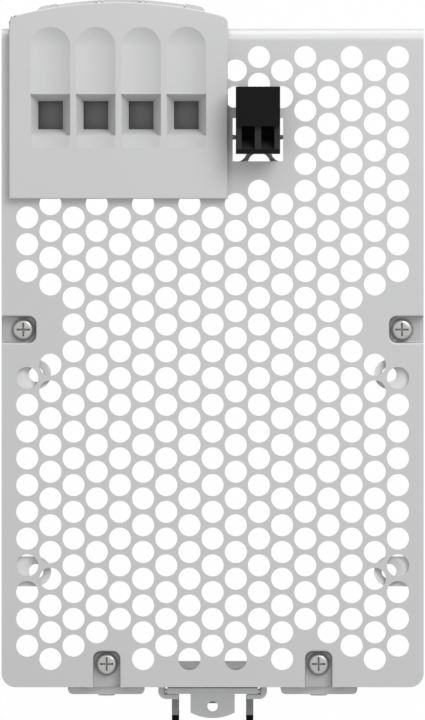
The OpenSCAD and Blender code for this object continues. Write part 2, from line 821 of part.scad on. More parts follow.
module status_lamp() {
  lamp_y = signal_face - gap;
  color([0.55, 0.85, 0.55]) {
    rod_y(lamp_y - 1, lamp_y, lamp_x, panel_z, lamp_r + 0.4);
    rod_y(lamp_y - 3, lamp_y, lamp_x, panel_z, lamp_r);
  }
}

module light_pipe() {
  pipe_back = signal_face - 3.4;
  color([0.85, 0.92, 0.85]) {
    rod_y(front_y, pipe_back, lamp_x, panel_z, lamp_r);
    intersection() {
      translate([lamp_x, front_y + 1.3, panel_z]) sphere(2);
      rod_y(front_y - 1, front_y + 1, lamp_x, panel_z, lamp_r);
    }
    rod_y(pipe_back - 2, pipe_back, lamp_x, panel_z, lamp_r + 0.6);
  }
}

module trimmer_body() {
  color([0.12, 0.25, 0.55]) difference() {
    slab([trimmer_x - trimmer_half, trimmer_front, panel_z - trimmer_half],
         [trimmer_x + trimmer_half, signal_face - gap, panel_z + trimmer_half]);
    rod_y(trimmer_front - 1, trimmer_front + 2.4, trimmer_x, panel_z, trimmer_stub_r + 0.05);
  }
}

module trimmer_rotor() {
  color([0.90, 0.90, 0.88]) difference() {
    union() {
      rod_y(front_y + 0.3, trimmer_front - 0.2, trimmer_x, panel_z, trimmer_r);
      rod_y(trimmer_front - 1, trimmer_front + 2.2, trimmer_x, panel_z, trimmer_stub_r);
    }
    for (turn = [0, 90]) translate([trimmer_x, front_y + 0.3, panel_z]) rotate([0, turn, 0])
      cube([2.8, 1.6, 0.6], center = true);
  }
}

// The places of the rivets that hold the foot's end flanges to the rear wall
module foot_rivet_places() {
  for (x = [-foot_rivet_x, foot_rivet_x], z = [foot_z[0] - 4, foot_z[1] + 4])
    translate([x, 0, z]) children();
}

// One guide ear, seen along Z: an outer wall, a rear lip and a front shelf round the slider's slot
module ear_plan() {
  front = shelf_y - 1.05;
  difference() {
    union() {
      translate([ear_lip_x, front]) square([foot_half - ear_r - ear_lip_x, ear_back_y - front]);
      translate([ear_lip_x, front]) square([foot_half - ear_lip_x, ear_back_y - ear_r - front]);
      translate([foot_half - ear_r, ear_back_y - ear_r]) circle(ear_r);
    }
    translate([0, shelf_y]) square([ear_slot_half, ear_back_y - ear_lip_t - shelf_y]);
  }
}

// One fixed hook, seen along X: it takes the rail's lower edge
module hook_profile() {
  tip = -rail_half + hook_grip;
  polygon([
    [foot_front_y + foot_wall / 2, foot_z[0]], [foot_front_y + foot_wall / 2, -hook_inner_z],
    [0, -hook_inner_z], [0, -rail_half - gap], [hook_gap, -rail_half - gap], [hook_gap, tip],
    [hook_back_y - hook_nose, tip], [hook_back_y, tip - 1], [hook_back_y, -hook_foot_z], [-4, foot_z[0]]
  ]);
}

// The pressed foot: a pan set in the rear wall, guide ears and fixed hooks
module rail_foot() {
  edge_y = rear_y - gap;
  color([0.60, 0.61, 0.62]) difference() {
    union() {
      difference() {
        slab([-foot_half, foot_front_y, foot_z[0]], [foot_half, edge_y, foot_z[1]]);
        slab([-foot_half + foot_wall, foot_front_y + foot_wall, foot_z[0] + foot_wall],
             [foot_half - foot_wall, 1, foot_z[1] - foot_wall]);
      }
      for (z = [foot_z[0] - foot_flange_l, foot_z[1] - foot_wall])
        slab([-foot_flange_half, rear_y - sheet - skin - 0.05, z],
             [foot_flange_half, rear_y - sheet - 0.05, z + foot_flange_l + foot_wall]);
      for (band = ear_bands) left_and_right() along_z(band[0], band[1]) ear_plan();
      left_and_right() along_x(hook_x[0], hook_x[1]) hook_profile();
      slab([-spring_stop_half, foot_front_y + foot_wall / 2, coil_z[1] + gap],
           [spring_stop_half, shelf_y - 0.2, coil_z[1] + gap + spring_stop_t]);
    }
    foot_rivet_places() rod_y(rear_y - 3, rear_y, 0, 0, rivet_shank_r + 0.05);
  }
}

module foot_rivets() {
  color([0.66, 0.66, 0.66]) foot_rivet_places() rivet(rear_y - sheet - skin - 0.07, rear_y - 0.02, 0.7, 0);
}

// One tooth of the latch, seen along X: it takes the rail's upper edge, with a ramp to snap over it
module tooth_profile() {
  tip = rail_half - hook_grip;
  polygon([
    [slider_y[1] - 0.1, hook_inner_z], [slider_y[1] - 0.1, tooth_top_z], [-0.5, tooth_top_z],
    [hook_back_y, tooth_ramp_z], [hook_back_y, tip + 1], [hook_back_y - hook_nose, tip],
    [hook_gap, tip], [hook_gap, rail_half + gap], [0, rail_half + gap], [0, hook_inner_z]
  ]);
}

// The sliding latch: a bar in the ears, two teeth, a spring lug, a bead and the holed release tab
module latch_slider() {
  tab_t = slider_y[1] - slider_y[0];
  color([0.64, 0.65, 0.66]) {
    slab([-slider_half, slider_y[0], slider_z[0]], [slider_half, slider_y[1], slider_z[1]]);
    left_and_right() along_x(hook_x[0], hook_x[1]) tooth_profile();
    slab([-lug_half, coil_y - lug_half, coil_z[0] - 1], [lug_half, slider_y[0] + 0.1, coil_z[0] - gap]);
    along_z(bead_z[0], bead_z[1]) round_rect(-bead_half, bead_half, slider_y[0], bead_back_y, 1);
    along_z(slider_z[1] - tab_t, slider_z[1]) difference() {
      intersection() {
        translate([0, tab_end_y - tab_arc_r]) circle(tab_arc_r);
        translate([-tab_half, slider_y[0]]) square([2 * tab_half, tab_end_y - slider_y[0] + 1]);
      }
      translate([0, tab_hole_y]) circle(tab_hole_r);
    }
  }
}

// A point on the coil's centre line, and the point at angle a round its wire there
function coil_point(t) = [coil_r * cos(360 * t), coil_y + coil_r * sin(360 * t),
  coil_z[0] + coil_wire_r + t / coil_turns * (coil_z[1] - coil_z[0] - 2 * coil_wire_r)];
function coil_skin(t, a) = coil_point(t)
  + coil_wire_r * [cos(a) * cos(360 * t), cos(a) * sin(360 * t), sin(a)];

// The latch's compression spring, one unbroken wire
module latch_spring() {
  last = coil_turns * coil_rings;
  skin_points = [for (n = [0 : last], s = [0 : coil_sides - 1])
    coil_skin(n / coil_rings, 360 * s / coil_sides)];
  function at(n, s) = n * coil_sides + s % coil_sides;
  walls = [for (n = [0 : last - 1], s = [0 : coil_sides - 1], half = [0, 1])
    half == 0 ? [at(n, s), at(n + 1, s), at(n + 1, s + 1)] : [at(n, s), at(n + 1, s + 1), at(n, s + 1)]];
  caps = [for (s = [1 : coil_sides - 2], end = [0, 1])
    end == 0 ? [at(0, 0), at(0, s), at(0, s + 1)] : [at(last, 0), at(last, s + 1), at(last, s)]];
  gaps = [for (n = [0 : last - coil_rings])
    norm(coil_point(n / coil_rings + 1) - coil_point(n / coil_rings))];
  echo("least gap between the latch spring's turns, mm", min(gaps) - 2 * coil_wire_r);
  color([0.70, 0.70, 0.72]) polyhedron(skin_points, concat(walls, caps));
}

module main_board() {
  color([0.10, 0.35, 0.18]) difference() {
    slab([main_board_x[0], main_board_face, -main_board_half],
         [main_board_x[1], main_board_y, main_board_half]);
    for (j = [0 : out_poles - 1]) bar_slot(pole_x(out_poles, j));
    mirror([0, 0, 1]) for (j = [0 : in_poles - 1]) bar_slot(pole_x(in_poles, j));
  }
}

// The slot that a busbar's foot passes in the main board
module bar_slot(x) {
  slab([x - bar_half - 0.1, main_board_face - 1, bar_foot_z - 0.1],
       [x + bar_half + 0.1, main_board_y + 1, bar_foot_z + bar_t + 0.1]);
}

// Two grooved guides on the side wall that hold the main board's edge
module card_guides() {
  color([0.15, 0.15, 0.16]) for (z = guide_zs) difference() {
    slab([guide_x, main_board_face - 1.3, z - guide_half],
         [half_w - sheet - 0.05, main_board_y + 1.1, z + guide_half]);
    slab([guide_x - 1, main_board_face - gap, z - guide_half - 1],
         [main_board_x[1] + gap, main_board_y + gap, z + guide_half + 1]);
  }
}

module insulating_foil() {
  color([0.85, 0.80, 0.62])
    slab([foil_x[0], wall_front + 0.5, -main_board_half],
         [foil_x[1], main_board_face - 1.5, main_board_half]);
}

module fuse() {
  color([0.86, 0.86, 0.84]) {
    rod_z(fuse_z[0], fuse_z[1], fuse_x, fuse_y, fuse_r);
    for (z = [fuse_z[0], fuse_z[1] - fuse_cap_l]) {
      rod_z(z, z + fuse_cap_l, fuse_x, fuse_y, fuse_cap_r);
      slab([fuse_x - fuse_clip_half, fuse_y, z + 1.5], [fuse_x + fuse_clip_half, seat_y, z + 3.5]);
    }
  }
}

module filter_choke() {
  color([0.20, 0.20, 0.22]) difference() {
    slab(choke_box[0], choke_box[1]);
    for (x = choke_groove_xs)
      slab([x - choke_groove_half, choke_box[0][1] - 1, choke_box[0][2] - 1],
           [x + choke_groove_half, choke_box[0][1] + choke_groove_depth, choke_box[1][2] + 1]);
  }
}

module filter_capacitor() {
  color([0.75, 0.72, 0.30]) {
    slab(filter_box[0], filter_box[1]);
    for (z = filter_pin_zs) rod_y(seat_y - 2, seat_y, filter_pin_x, z, pin_radius);
  }
}

module bridge_rectifier() {
  mid_x = (bridge_box[0][0] + bridge_box[1][0]) / 2;
  mid_z = (bridge_box[0][2] + bridge_box[1][2]) / 2;
  color([0.13, 0.13, 0.14]) {
    difference() {
      slab(bridge_box[0], bridge_box[1]);
      rod_z(bridge_box[0][2] - 1, bridge_box[1][2] + 1, mid_x, bridge_hole_y, bridge_hole_r);
    }
    for (x = bridge_pin_xs) rod_y(bridge_box[1][1] - 0.5, seat_y, x, mid_z, pin_radius);
  }
}

// A round can along Y with a crimped groove near its foot and a softened top edge
module can(x, z, r, l) {
  groove = r * 0.08;
  translate([x, seat_y, z]) rotate([90, 0, 0]) rotate_extrude() difference() {
    union() {
      square([r, l - groove]);
      square([r - groove, l]);
      translate([r - groove, l - groove]) circle(groove);
    }
    translate([r + groove / 4, l * 0.13]) circle(groove);
  }
}

module bulk_capacitors() {
  color([0.12, 0.13, 0.30]) for (x = bulk_can_xs) can(x, bulk_can_z, bulk_can_r, bulk_can_l);
}

module output_capacitors() {
  color([0.12, 0.13, 0.30]) for (x = output_can_xs) can(x, panel_z, output_can_r, output_can_l);
}

module heat_sink() {
  color([0.75, 0.76, 0.77]) {
    slab([-sink_half, sink_y[0], sink_z[0]], [sink_half, sink_y[1], sink_z[1]]);
    for (y = [sink_y[0] : fin_pitch : fin_last_y])
      slab([-sink_half - fin_h, y, sink_z[0]], [0, y + fin_t, sink_z[1]]);
  }
}

module switch_transistors() {
  color([0.12, 0.12, 0.13]) for (z = switch_zs) {
    slab([switch_x[0], switch_y[0], z - switch_half], [switch_x[1], switch_y[1], z + switch_half]);
    for (step = [-1, 0, 1])
      rod_y(switch_y[1] - 0.5, seat_y, switch_pin_x, z + step * switch_pin_step, pin_radius);
  }
}

// Ferrite core: two windows round a middle leg, seen along Y
module transformer_core() {
  color([0.25, 0.25, 0.27]) along_y(core_y[0], core_y[1]) difference() {
    translate([core_x[0], core_z[0]]) square([core_x[1] - core_x[0], core_z[1] - core_z[0]]);
    for (x = [core_x[0] + core_leg, core_x[1] - core_leg - core_window_w])
      translate([x, core_z[0] + core_yoke]) square([core_window_w, core_z[1] - core_z[0] - 2 * core_yoke]);
  }
}

module transformer_coil() {
  color([0.80, 0.68, 0.25]) {
    difference() {
      slab(winding_box[0], winding_box[1]);
      slab(winding_bore[0], winding_bore[1]);
    }
    for (x = winding_pin_xs, z = winding_pin_zs) rod_y(winding_box[1][1] - 0.5, seat_y, x, z, pin_radius);
  }
}

module output_inductor() {
  front = inductor_box[0][1];
  color([0.30, 0.30, 0.32]) difference() {
    slab(inductor_box[0], inductor_box[1]);
    slab([inductor_groove_x[0], front - 1, inductor_box[0][2] - 1],
         [inductor_groove_x[1], front + inductor_groove_depth, inductor_box[1][2] + 1]);
  }
}

module signal_relay() {
  color([0.85, 0.85, 0.83]) {
    slab(relay_box[0], relay_box[1]);
    for (x = relay_pin_xs, z = relay_pin_zs) rod_y(seat_y - 1, seat_y, x, z, pin_radius);
  }
}

chassis();
front_cover();
bottom_cover();
top_cover_screws();
bottom_cover_screws();
front_screws();
rear_brackets();
bracket_rivets();
output_terminal();
output_clamps();
output_busbars();
output_lever_pin();
output_lever(0);  // output_lever_1
output_lever(1);  // output_lever_2
output_lever(2);  // output_lever_3
output_lever(3);  // output_lever_4
input_terminal();
input_clamps();
input_busbars();
input_lever_pin();
input_lever(0);  // input_lever_1
input_lever(1);  // input_lever_2
input_lever(2);  // input_lever_3
signal_plug();
plug_screws();
plug_header();
header_pins();
signal_board();
status_lamp();
light_pipe();
trimmer_body();
trimmer_rotor();
rail_foot();
foot_rivets();
latch_slider();
latch_spring();
main_board();
card_guides();
insulating_foil();
fuse();
filter_choke();
filter_capacitor();
bridge_rectifier();
bulk_capacitors();
heat_sink();
switch_transistors();
transformer_core();
transformer_coil();
output_inductor();
output_capacitors();
signal_relay();
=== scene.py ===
"""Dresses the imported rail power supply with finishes, softened edges and fine fittings."""

import json
import logging
import math
from collections.abc import Callable, Iterable, Iterator
from contextlib import contextmanager
from dataclasses import dataclass
from enum import Enum
from functools import cache

import bmesh
import bpy
from mathutils import Matrix, Vector

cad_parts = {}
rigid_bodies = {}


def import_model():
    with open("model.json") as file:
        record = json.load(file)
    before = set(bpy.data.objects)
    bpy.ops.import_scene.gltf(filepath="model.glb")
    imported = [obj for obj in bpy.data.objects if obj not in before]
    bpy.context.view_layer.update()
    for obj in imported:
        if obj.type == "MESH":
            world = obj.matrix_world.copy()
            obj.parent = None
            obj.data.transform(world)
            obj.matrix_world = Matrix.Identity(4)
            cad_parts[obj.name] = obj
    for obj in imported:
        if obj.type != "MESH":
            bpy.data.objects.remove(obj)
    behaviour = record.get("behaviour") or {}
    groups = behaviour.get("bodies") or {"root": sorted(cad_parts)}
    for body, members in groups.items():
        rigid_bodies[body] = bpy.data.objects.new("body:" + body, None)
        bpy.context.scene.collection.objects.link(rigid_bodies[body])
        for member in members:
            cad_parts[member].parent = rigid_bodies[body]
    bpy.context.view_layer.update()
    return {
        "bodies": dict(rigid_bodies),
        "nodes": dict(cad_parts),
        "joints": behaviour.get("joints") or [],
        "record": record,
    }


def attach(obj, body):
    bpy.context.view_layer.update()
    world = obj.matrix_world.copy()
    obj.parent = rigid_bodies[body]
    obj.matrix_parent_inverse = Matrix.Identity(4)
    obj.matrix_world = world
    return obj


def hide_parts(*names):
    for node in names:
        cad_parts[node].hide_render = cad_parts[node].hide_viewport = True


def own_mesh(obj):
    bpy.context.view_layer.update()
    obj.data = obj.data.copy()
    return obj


LOG = logging.getLogger("power_supply")
MM = 0.001
# Points closer than this become one, and levels closer than TOUCH, in millimetres, count as one.
MERGE = 0.001 * MM
TOUCH = 0.01
# Folds up to FLAT are dissolved, those above SHARP are softened, and those above SMOOTH show as edges.
FLAT = math.radians(0.6)
SHARP = math.radians(35.0)
SMOOTH = math.radians(38.0)
# Strips in a softened edge, and in a pressed or moulded one.
SOFT_STRIPS = 2
PRESSED_STRIPS = 3
# The least cosine of a face that looks roughly, closely or just so in a direction.
FACING = 0.9
SQUARE = 0.99
EXACT = 0.9999
# What the finishes share: the spread and least value of roughness, the bump's strength, the repeats of
# slow colour changes in each millimetre, and how a brushed grain is drawn out along Y.
GLOSS_SPREAD = 0.08
LEAST_ROUGHNESS = 0.03
BUMP_STRENGTH = 0.5
CLOUDS = 0.05
BRUSH_STRETCH = (1.0, 0.05, 1.0)
WHITE = (1.0, 1.0, 1.0, 1.0)

Piece = bpy.types.Object
Tree = bpy.types.NodeTree
Node = bpy.types.Node
Socket = bpy.types.NodeSocket
Inputs = dict[str | int, object]
Point = tuple[float, float, float]
Colour = tuple[float, float, float]
Span = tuple[float, float]
Steps = tuple[tuple[float, float], ...]
Test = Callable[[Vector, Vector], bool]


class Pattern(Enum):
    """How a finish varies over its surface."""

    GRAIN = "grain"
    BRUSHED = "brushed"
    SPANGLE = "spangle"
    TAPE = "tape"
    TRACES = "traces"


def wired(tree: Tree, node: Node | str, values: Inputs, links: Inputs, **traits: str) -> Node:
    """Sets and links the inputs of a shader node.

    Args:
        tree: The node's tree.
        node: The node, or the type of one to add.
        values: Inputs and their values.
        links: Inputs and the sockets that they take.
        traits: The node's own settings, such as its operation.

    Returns:
        The node.
    """
    if isinstance(node, str):
        node = tree.nodes.new(node)
    for name, value in traits.items():
        setattr(node, name, value)
    for name, value in values.items():
        node.inputs[name].default_value = value
    for name, socket in links.items():
        tree.links.new(socket, node.inputs[name])
    return node


@dataclass(frozen=True)
class Finish:
    """One procedural finish.

    Attributes:
        name: The material's name.
        colour: Linear base colour.
        metallic, specular, coat, transmission, ior: The shader's values of these names.
        roughness: Middle roughness, which the grain spreads.
        pattern: How the colour and the bump vary.
        grain: Repeats of the fine grain in each millimetre.
        relief: Height of the grain, in millimetres.
        mottle: Share by which the colour varies.
    """

    name: str
    colour: Colour
    metallic: float = 0.0
    roughness: float = 0.5
    pattern: Pattern = Pattern.GRAIN
    grain: float = 4.0
    relief: float = 0.004
    mottle: float = 0.04
    specular: float = 0.5
    coat: float = 0.0
    transmission: float = 0.0
    ior: float = 1.5

    @cache
    def material(self) -> bpy.types.Material:
        """Returns the finish as a material, made on its first use."""
        made = bpy.data.materials.new(f"{self.name}_finish")
        made.use_nodes = True
        made.diffuse_color = (*self.colour, 1.0)
        tree = made.node_tree
        place = wired(tree, "ShaderNodeTexCoord", {}, {}).outputs["Object"]
        drawn = place
        if self.pattern is Pattern.BRUSHED:
            brush = wired(tree, "ShaderNodeMapping", {"Scale": BRUSH_STRETCH}, {"Vector": place})
            drawn = brush.outputs["Vector"]
        fine = self.noise(tree, drawn, self.grain, 3.0)
        field = self.field(tree, place)
        tint = self.spread(tree, field, 1.0 - self.mottle, 1.0 + self.mottle)
        shade = wired(
            tree, "ShaderNodeVectorMath", {"Vector": self.colour}, {"Scale": tint}, operation="SCALE"
        )
        dull = min(self.roughness + GLOSS_SPREAD, 1.0)
        gloss = self.spread(tree, fine, max(self.roughness - GLOSS_SPREAD, LEAST_ROUGHNESS), dull)
        bump = wired(
            tree, "ShaderNodeBump", {"Strength": BUMP_STRENGTH, "Distance": self.relief * MM},
            {"Height": field if self.pattern in (Pattern.TAPE, Pattern.TRACES) else fine},
        )
        wired(
            tree, tree.nodes["Principled BSDF"],
            {
                "Metallic": self.metallic, "Specular IOR Level": self.specular, "Coat Weight": self.coat,
                "Transmission Weight": self.transmission, "IOR": self.ior,
            },
            {"Base Color": shade.outputs["Vector"], "Roughness": gloss, "Normal": bump.outputs["Normal"]},
        )
        return made

    def field(self, tree: Tree, place: Socket) -> Socket:
        """Adds the texture that varies the colour.

        Args:
            tree: The material's nodes.
            place: The coordinates.

        Returns:
            A value from 0 to 1.
        """
        if self.pattern is Pattern.SPANGLE:
            cells = wired(tree, "ShaderNodeTexVoronoi", {"Scale": 0.9 / MM}, {"Vector": place})
            return cells.outputs["Distance"]
        if self.pattern is Pattern.TAPE:
            bands = wired(
                tree, "ShaderNodeTexWave", {"Scale": 0.10 / MM, "Distortion": 0.4}, {"Vector": place},
                bands_direction="Y", wave_profile="SAW",
            )
            return bands.outputs["Fac"]
        if self.pattern is Pattern.TRACES:
            flat = wired(
                tree, "ShaderNodeMapping", {"Rotation": (math.pi / 2, 0.0, 0.0)}, {"Vector": place}
            )
            lines = wired(
                tree, "ShaderNodeTexBrick",
                {
                    "Scale": 0.25 / MM, "Mortar Size": 0.06, "Color1": (0.2, 0.2, 0.2, 1.0),
                    "Color2": (0.4, 0.4, 0.4, 1.0), "Mortar": WHITE,
                },
                {"Vector": flat.outputs["Vector"]},
            )
            return lines.outputs["Color"]
        return self.noise(tree, place, CLOUDS, 4.0)

    @staticmethod
    def noise(tree: Tree, place: Socket, scale: float, detail: float) -> Socket:
        """Adds a noise.

        Args:
            tree: The material's nodes.
            place: The coordinates.
            scale, detail: Repeats in each millimetre, and octaves.

        Returns:
            The noise, from 0 to 1.
        """
        node = wired(
            tree, "ShaderNodeTexNoise", {"Scale": scale / MM, "Detail": detail}, {"Vector": place}
        )
        return node.outputs["Fac"]

    @staticmethod
    def spread(tree: Tree, value: Socket, low: float, high: float) -> Socket:
        """Adds a range from low to high.

        Args:
            tree: The material's nodes.
            value: A value from 0 to 1.
            low, high: The results for 0 and 1.

        Returns:
            The value in its new range.
        """
        node = wired(tree, "ShaderNodeMapRange", {"To Min": low, "To Max": high}, {"Value": value})
        return node.outputs["Result"]


COVER_SHEET = Finish(
    "cover_sheet", (0.562, 0.563, 0.565), metallic=0.25, roughness=0.46, grain=6.0, mottle=0.02
)
# Painted shade: a darker sheet for the pockets' walls and floors, where the walls shade them.
POCKET_SHADE = Finish("pocket_painted_shade", (0.458, 0.459, 0.461), metallic=0.25, roughness=0.42, grain=6.0)
CHASSIS_SHEET = Finish(
    "chassis_sheet", (0.62, 0.622, 0.625), metallic=0.25, roughness=0.44, grain=6.0, mottle=0.03
)
# Painted light: a paler, matt finish for the lugs that lie in the upper wing's shade.
LUG_LIGHT = Finish("lug_painted_light", (0.79, 0.792, 0.795), roughness=0.8, specular=0.1)
ZINC = Finish("zinc_steel", (0.46, 0.46, 0.455), metallic=0.7, roughness=0.32, pattern=Pattern.SPANGLE)
# Painted shade: a darker flange ring around each screw head, for the shade in the gap.
FLANGE_SHADE = Finish("flange_painted_shade", (0.23, 0.23, 0.23), metallic=0.4)
# Painted shade: a darker finish for the floor and walls of the cross recess.
RECESS_SHADE = Finish("recess_painted_shade", (0.36, 0.36, 0.36), metallic=0.5)
BRACKET = Finish("bracket_steel", (0.49, 0.493, 0.497), metallic=0.4, roughness=0.42)
FOOT = Finish("foot_steel", (0.59, 0.593, 0.597), metallic=0.35, roughness=0.42)
# Painted shade for the foot's hooks, the slider's teeth and stop faces, deepening to black at the tips.
STEEL_SHADE = Finish("steel_painted_shade", (0.25, 0.25, 0.255), metallic=0.4, roughness=0.45)
HOOK_DEEP_SHADE = Finish("hook_painted_deep_shade", (0.17, 0.17, 0.175), metallic=0.4, roughness=0.45)
HOOK_TIP_SHADE = Finish("hook_tip_painted_black_shade", (0.003, 0.003, 0.0034), roughness=0.8, specular=0.02)
SPRING = Finish("spring_steel", (0.22, 0.22, 0.22), metallic=0.5, roughness=0.34)
TERMINAL = Finish(
    "terminal_plastic", (0.612, 0.614, 0.614), roughness=0.55, grain=5.0, relief=0.006, mottle=0.015,
    specular=0.3,
)
PLUG = Finish("plug_plastic", (0.006, 0.006, 0.0063), roughness=0.55, grain=5.0, specular=0.08)
# Painted light: a paler black for the plug's step and slopes that face the light.
PLUG_STEP_LIGHT = Finish("plug_step_painted_light", (0.033, 0.033, 0.0335), roughness=0.55, grain=5.0, specular=0.08)
DARK = Finish("dark_plastic", (0.03, 0.03, 0.035))
CLEAR = Finish("clear_plastic", (0.80, 0.84, 0.80), roughness=0.12, transmission=0.6, ior=1.49)
YELLOW = Finish("yellow_plastic", (0.62, 0.50, 0.14), roughness=0.35)
TAPE = Finish(
    "winding_tape", (0.60, 0.47, 0.10), roughness=0.32, pattern=Pattern.TAPE, relief=0.05, mottle=0.12,
    coat=0.3,
)
SLEEVE = Finish("can_sleeve", (0.02, 0.025, 0.07), roughness=0.28, coat=0.3)
FOIL = Finish("foil", (0.72, 0.64, 0.42), roughness=0.30)
BOARD = Finish(
    "board", (0.02, 0.12, 0.04), roughness=0.30, pattern=Pattern.TRACES, relief=0.03, mottle=0.35, coat=0.4
)
FERRITE = Finish("ferrite", (0.05, 0.05, 0.055), metallic=0.2, roughness=0.55)
HEAT_SINK = Finish(
    "heat_sink_aluminium", (0.60, 0.60, 0.61), metallic=1.0, roughness=0.32, pattern=Pattern.BRUSHED
)
COPPER = Finish("copper", (0.60, 0.33, 0.15), metallic=1.0, roughness=0.28)
TIN = Finish("tinned_lead", (0.62, 0.62, 0.60), metallic=1.0, roughness=0.3)
# The finishes that are named after the record's slots.
FINISHES = {
    made.name: made
    for made in (
        COVER_SHEET, CHASSIS_SHEET, ZINC, BRACKET, FOOT, SPRING, TERMINAL, PLUG, DARK, CLEAR, YELLOW,
        SLEEVE, FOIL, BOARD, FERRITE, HEAT_SINK, COPPER,
    )
}


def take(piece: Piece) -> None:
    """Makes one object the only selected one and the active one."""
    bpy.ops.object.select_all(action="DESELECT")
    piece.select_set(True)
    bpy.context.view_layer.objects.active = piece


@contextmanager
def editing(piece: Piece, mode: str = "FACE") -> Iterator[None]:
    """Opens a piece in edit mode with nothing selected, and closes it again.

    Args:
        piece: The piece.
        mode: What is selected: VERT, EDGE or FACE.
    """
    take(piece)
    bpy.ops.object.mode_set(mode="EDIT")
    bpy.ops.mesh.select_mode(type=mode)
    bpy.ops.mesh.select_all(action="DESELECT")
    yield
    bpy.ops.object.mode_set(mode="OBJECT")


def pick_faces(piece: Piece, test: Test) -> None:
    """Selects the faces of a piece in edit mode that pass a test.

    Args:
        piece: The piece.
        test: Takes a face's middle, in millimetres, and its normal.
    """
    mesh = bmesh.from_edit_mesh(piece.data)
    for face in mesh.faces:
        face.select_set(test(face.calc_center_median() / MM, face.normal))
    bmesh.update_edit_mesh(piece.data)


def pick_edges(piece: Piece, test: Test, fold: float = 30.0) -> None:
    """Selects the folded edges of a piece in edit mode whose ends pass a test.

    Args:
        piece: The piece.
        test: Takes an edge's two ends, in millimetres.
        fold: The least angle between the edge's faces, in degrees.
    """
    mesh = bmesh.from_edit_mesh(piece.data)
    least = math.radians(fold)
    for edge in mesh.edges:
        start, end = (vertex.co / MM for vertex in edge.verts)
        edge.select_set(edge.calc_face_angle(0.0) > least and test(start, end))
    bmesh.update_edit_mesh(piece.data)


def bevel_picked(width: float) -> None:
    """Rounds the selected edges by a width in millimetres."""
    bpy.ops.mesh.bevel(offset=width * MM, segments=PRESSED_STRIPS, affect="EDGES", clamp_overlap=False)


def grow_dome(steps: Iterable[tuple[float, float]]) -> None:
    """Draws the selected faces in and up, step by step.

    Args:
        steps: Each step's inset and rise, in millimetres.
    """
    for inset, rise in steps:
        bpy.ops.mesh.inset(thickness=inset * MM, depth=rise * MM)


def push(rise: float) -> None:
    """Extrudes the selected faces along Z by a rise in millimetres."""
    bpy.ops.mesh.extrude_region_move(TRANSFORM_OT_translate={"value": (0.0, 0.0, rise * MM)})


def widen(share: float) -> None:
    """Resizes the selected faces across Z to a share of their size."""
    bpy.ops.transform.resize(value=(share, share, 1.0))


def cut_at_y(y: float) -> None:
    """Divides the selected faces where they pass a place along Y, in millimetres."""
    bpy.ops.mesh.bisect(plane_co=(0.0, y * MM, 0.0), plane_no=(0.0, 1.0, 0.0))


def drum(radius: float, height: float, sides: int) -> Piece:
    """Makes a cylinder that stands on the origin.

    Args:
        radius, height: Its radius and height, in millimetres.
        sides: Sides of its round face.

    Returns:
        The cylinder.
    """
    bpy.ops.mesh.primitive_cylinder_add(
        vertices=sides, radius=radius * MM, depth=height * MM, location=(0.0, 0.0, height / 2 * MM)
    )
    bpy.ops.object.transform_apply()
    return bpy.context.object


def soften(piece: Piece, width: float) -> None:
    """Rounds every sharp edge of a piece.

    Args:
        piece: The piece.
        width: How far the round reaches from the edge, in millimetres.
    """
    take(piece)
    bevel = piece.modifiers.new("round", "BEVEL")
    bevel.width = width * MM
    bevel.segments = SOFT_STRIPS
    bevel.limit_method = "ANGLE"
    bevel.angle_limit = SHARP
    bevel.use_clamp_overlap = False
    bpy.ops.object.modifier_apply(modifier=bevel.name)


def smooth(piece: Piece) -> None:
    """Shades a piece smoothly between its edges, with flat faces kept flat."""
    take(piece)
    bpy.ops.object.shade_smooth_by_angle(angle=SMOOTH)
    weighted = piece.modifiers.new("flat_faces", "WEIGHTED_NORMAL")
    weighted.keep_sharp = True
    bpy.ops.object.modifier_apply(modifier=weighted.name)


def paint_faces(piece: Piece, finish: Finish, test: Test) -> None:
    """Gives some faces of a piece a finish of their own.

    Args:
        piece: The piece, which already has its main finish.
        finish: The other finish.
        test: Takes a face's middle, in millimetres, and its normal.
    """
    piece.data.materials.append(finish.material())
    index = len(piece.data.materials) - 1
    for face in piece.data.polygons:
        if test(face.center / MM, face.normal):
            face.material_index = index


def at(x: float, y: float, z: float, turn: Matrix | None = None) -> Matrix:
    """Returns the matrix that turns a piece and moves it to a place in millimetres."""
    return Matrix.Translation(Vector((x, y, z)) * MM) @ (turn or Matrix.Identity(4))


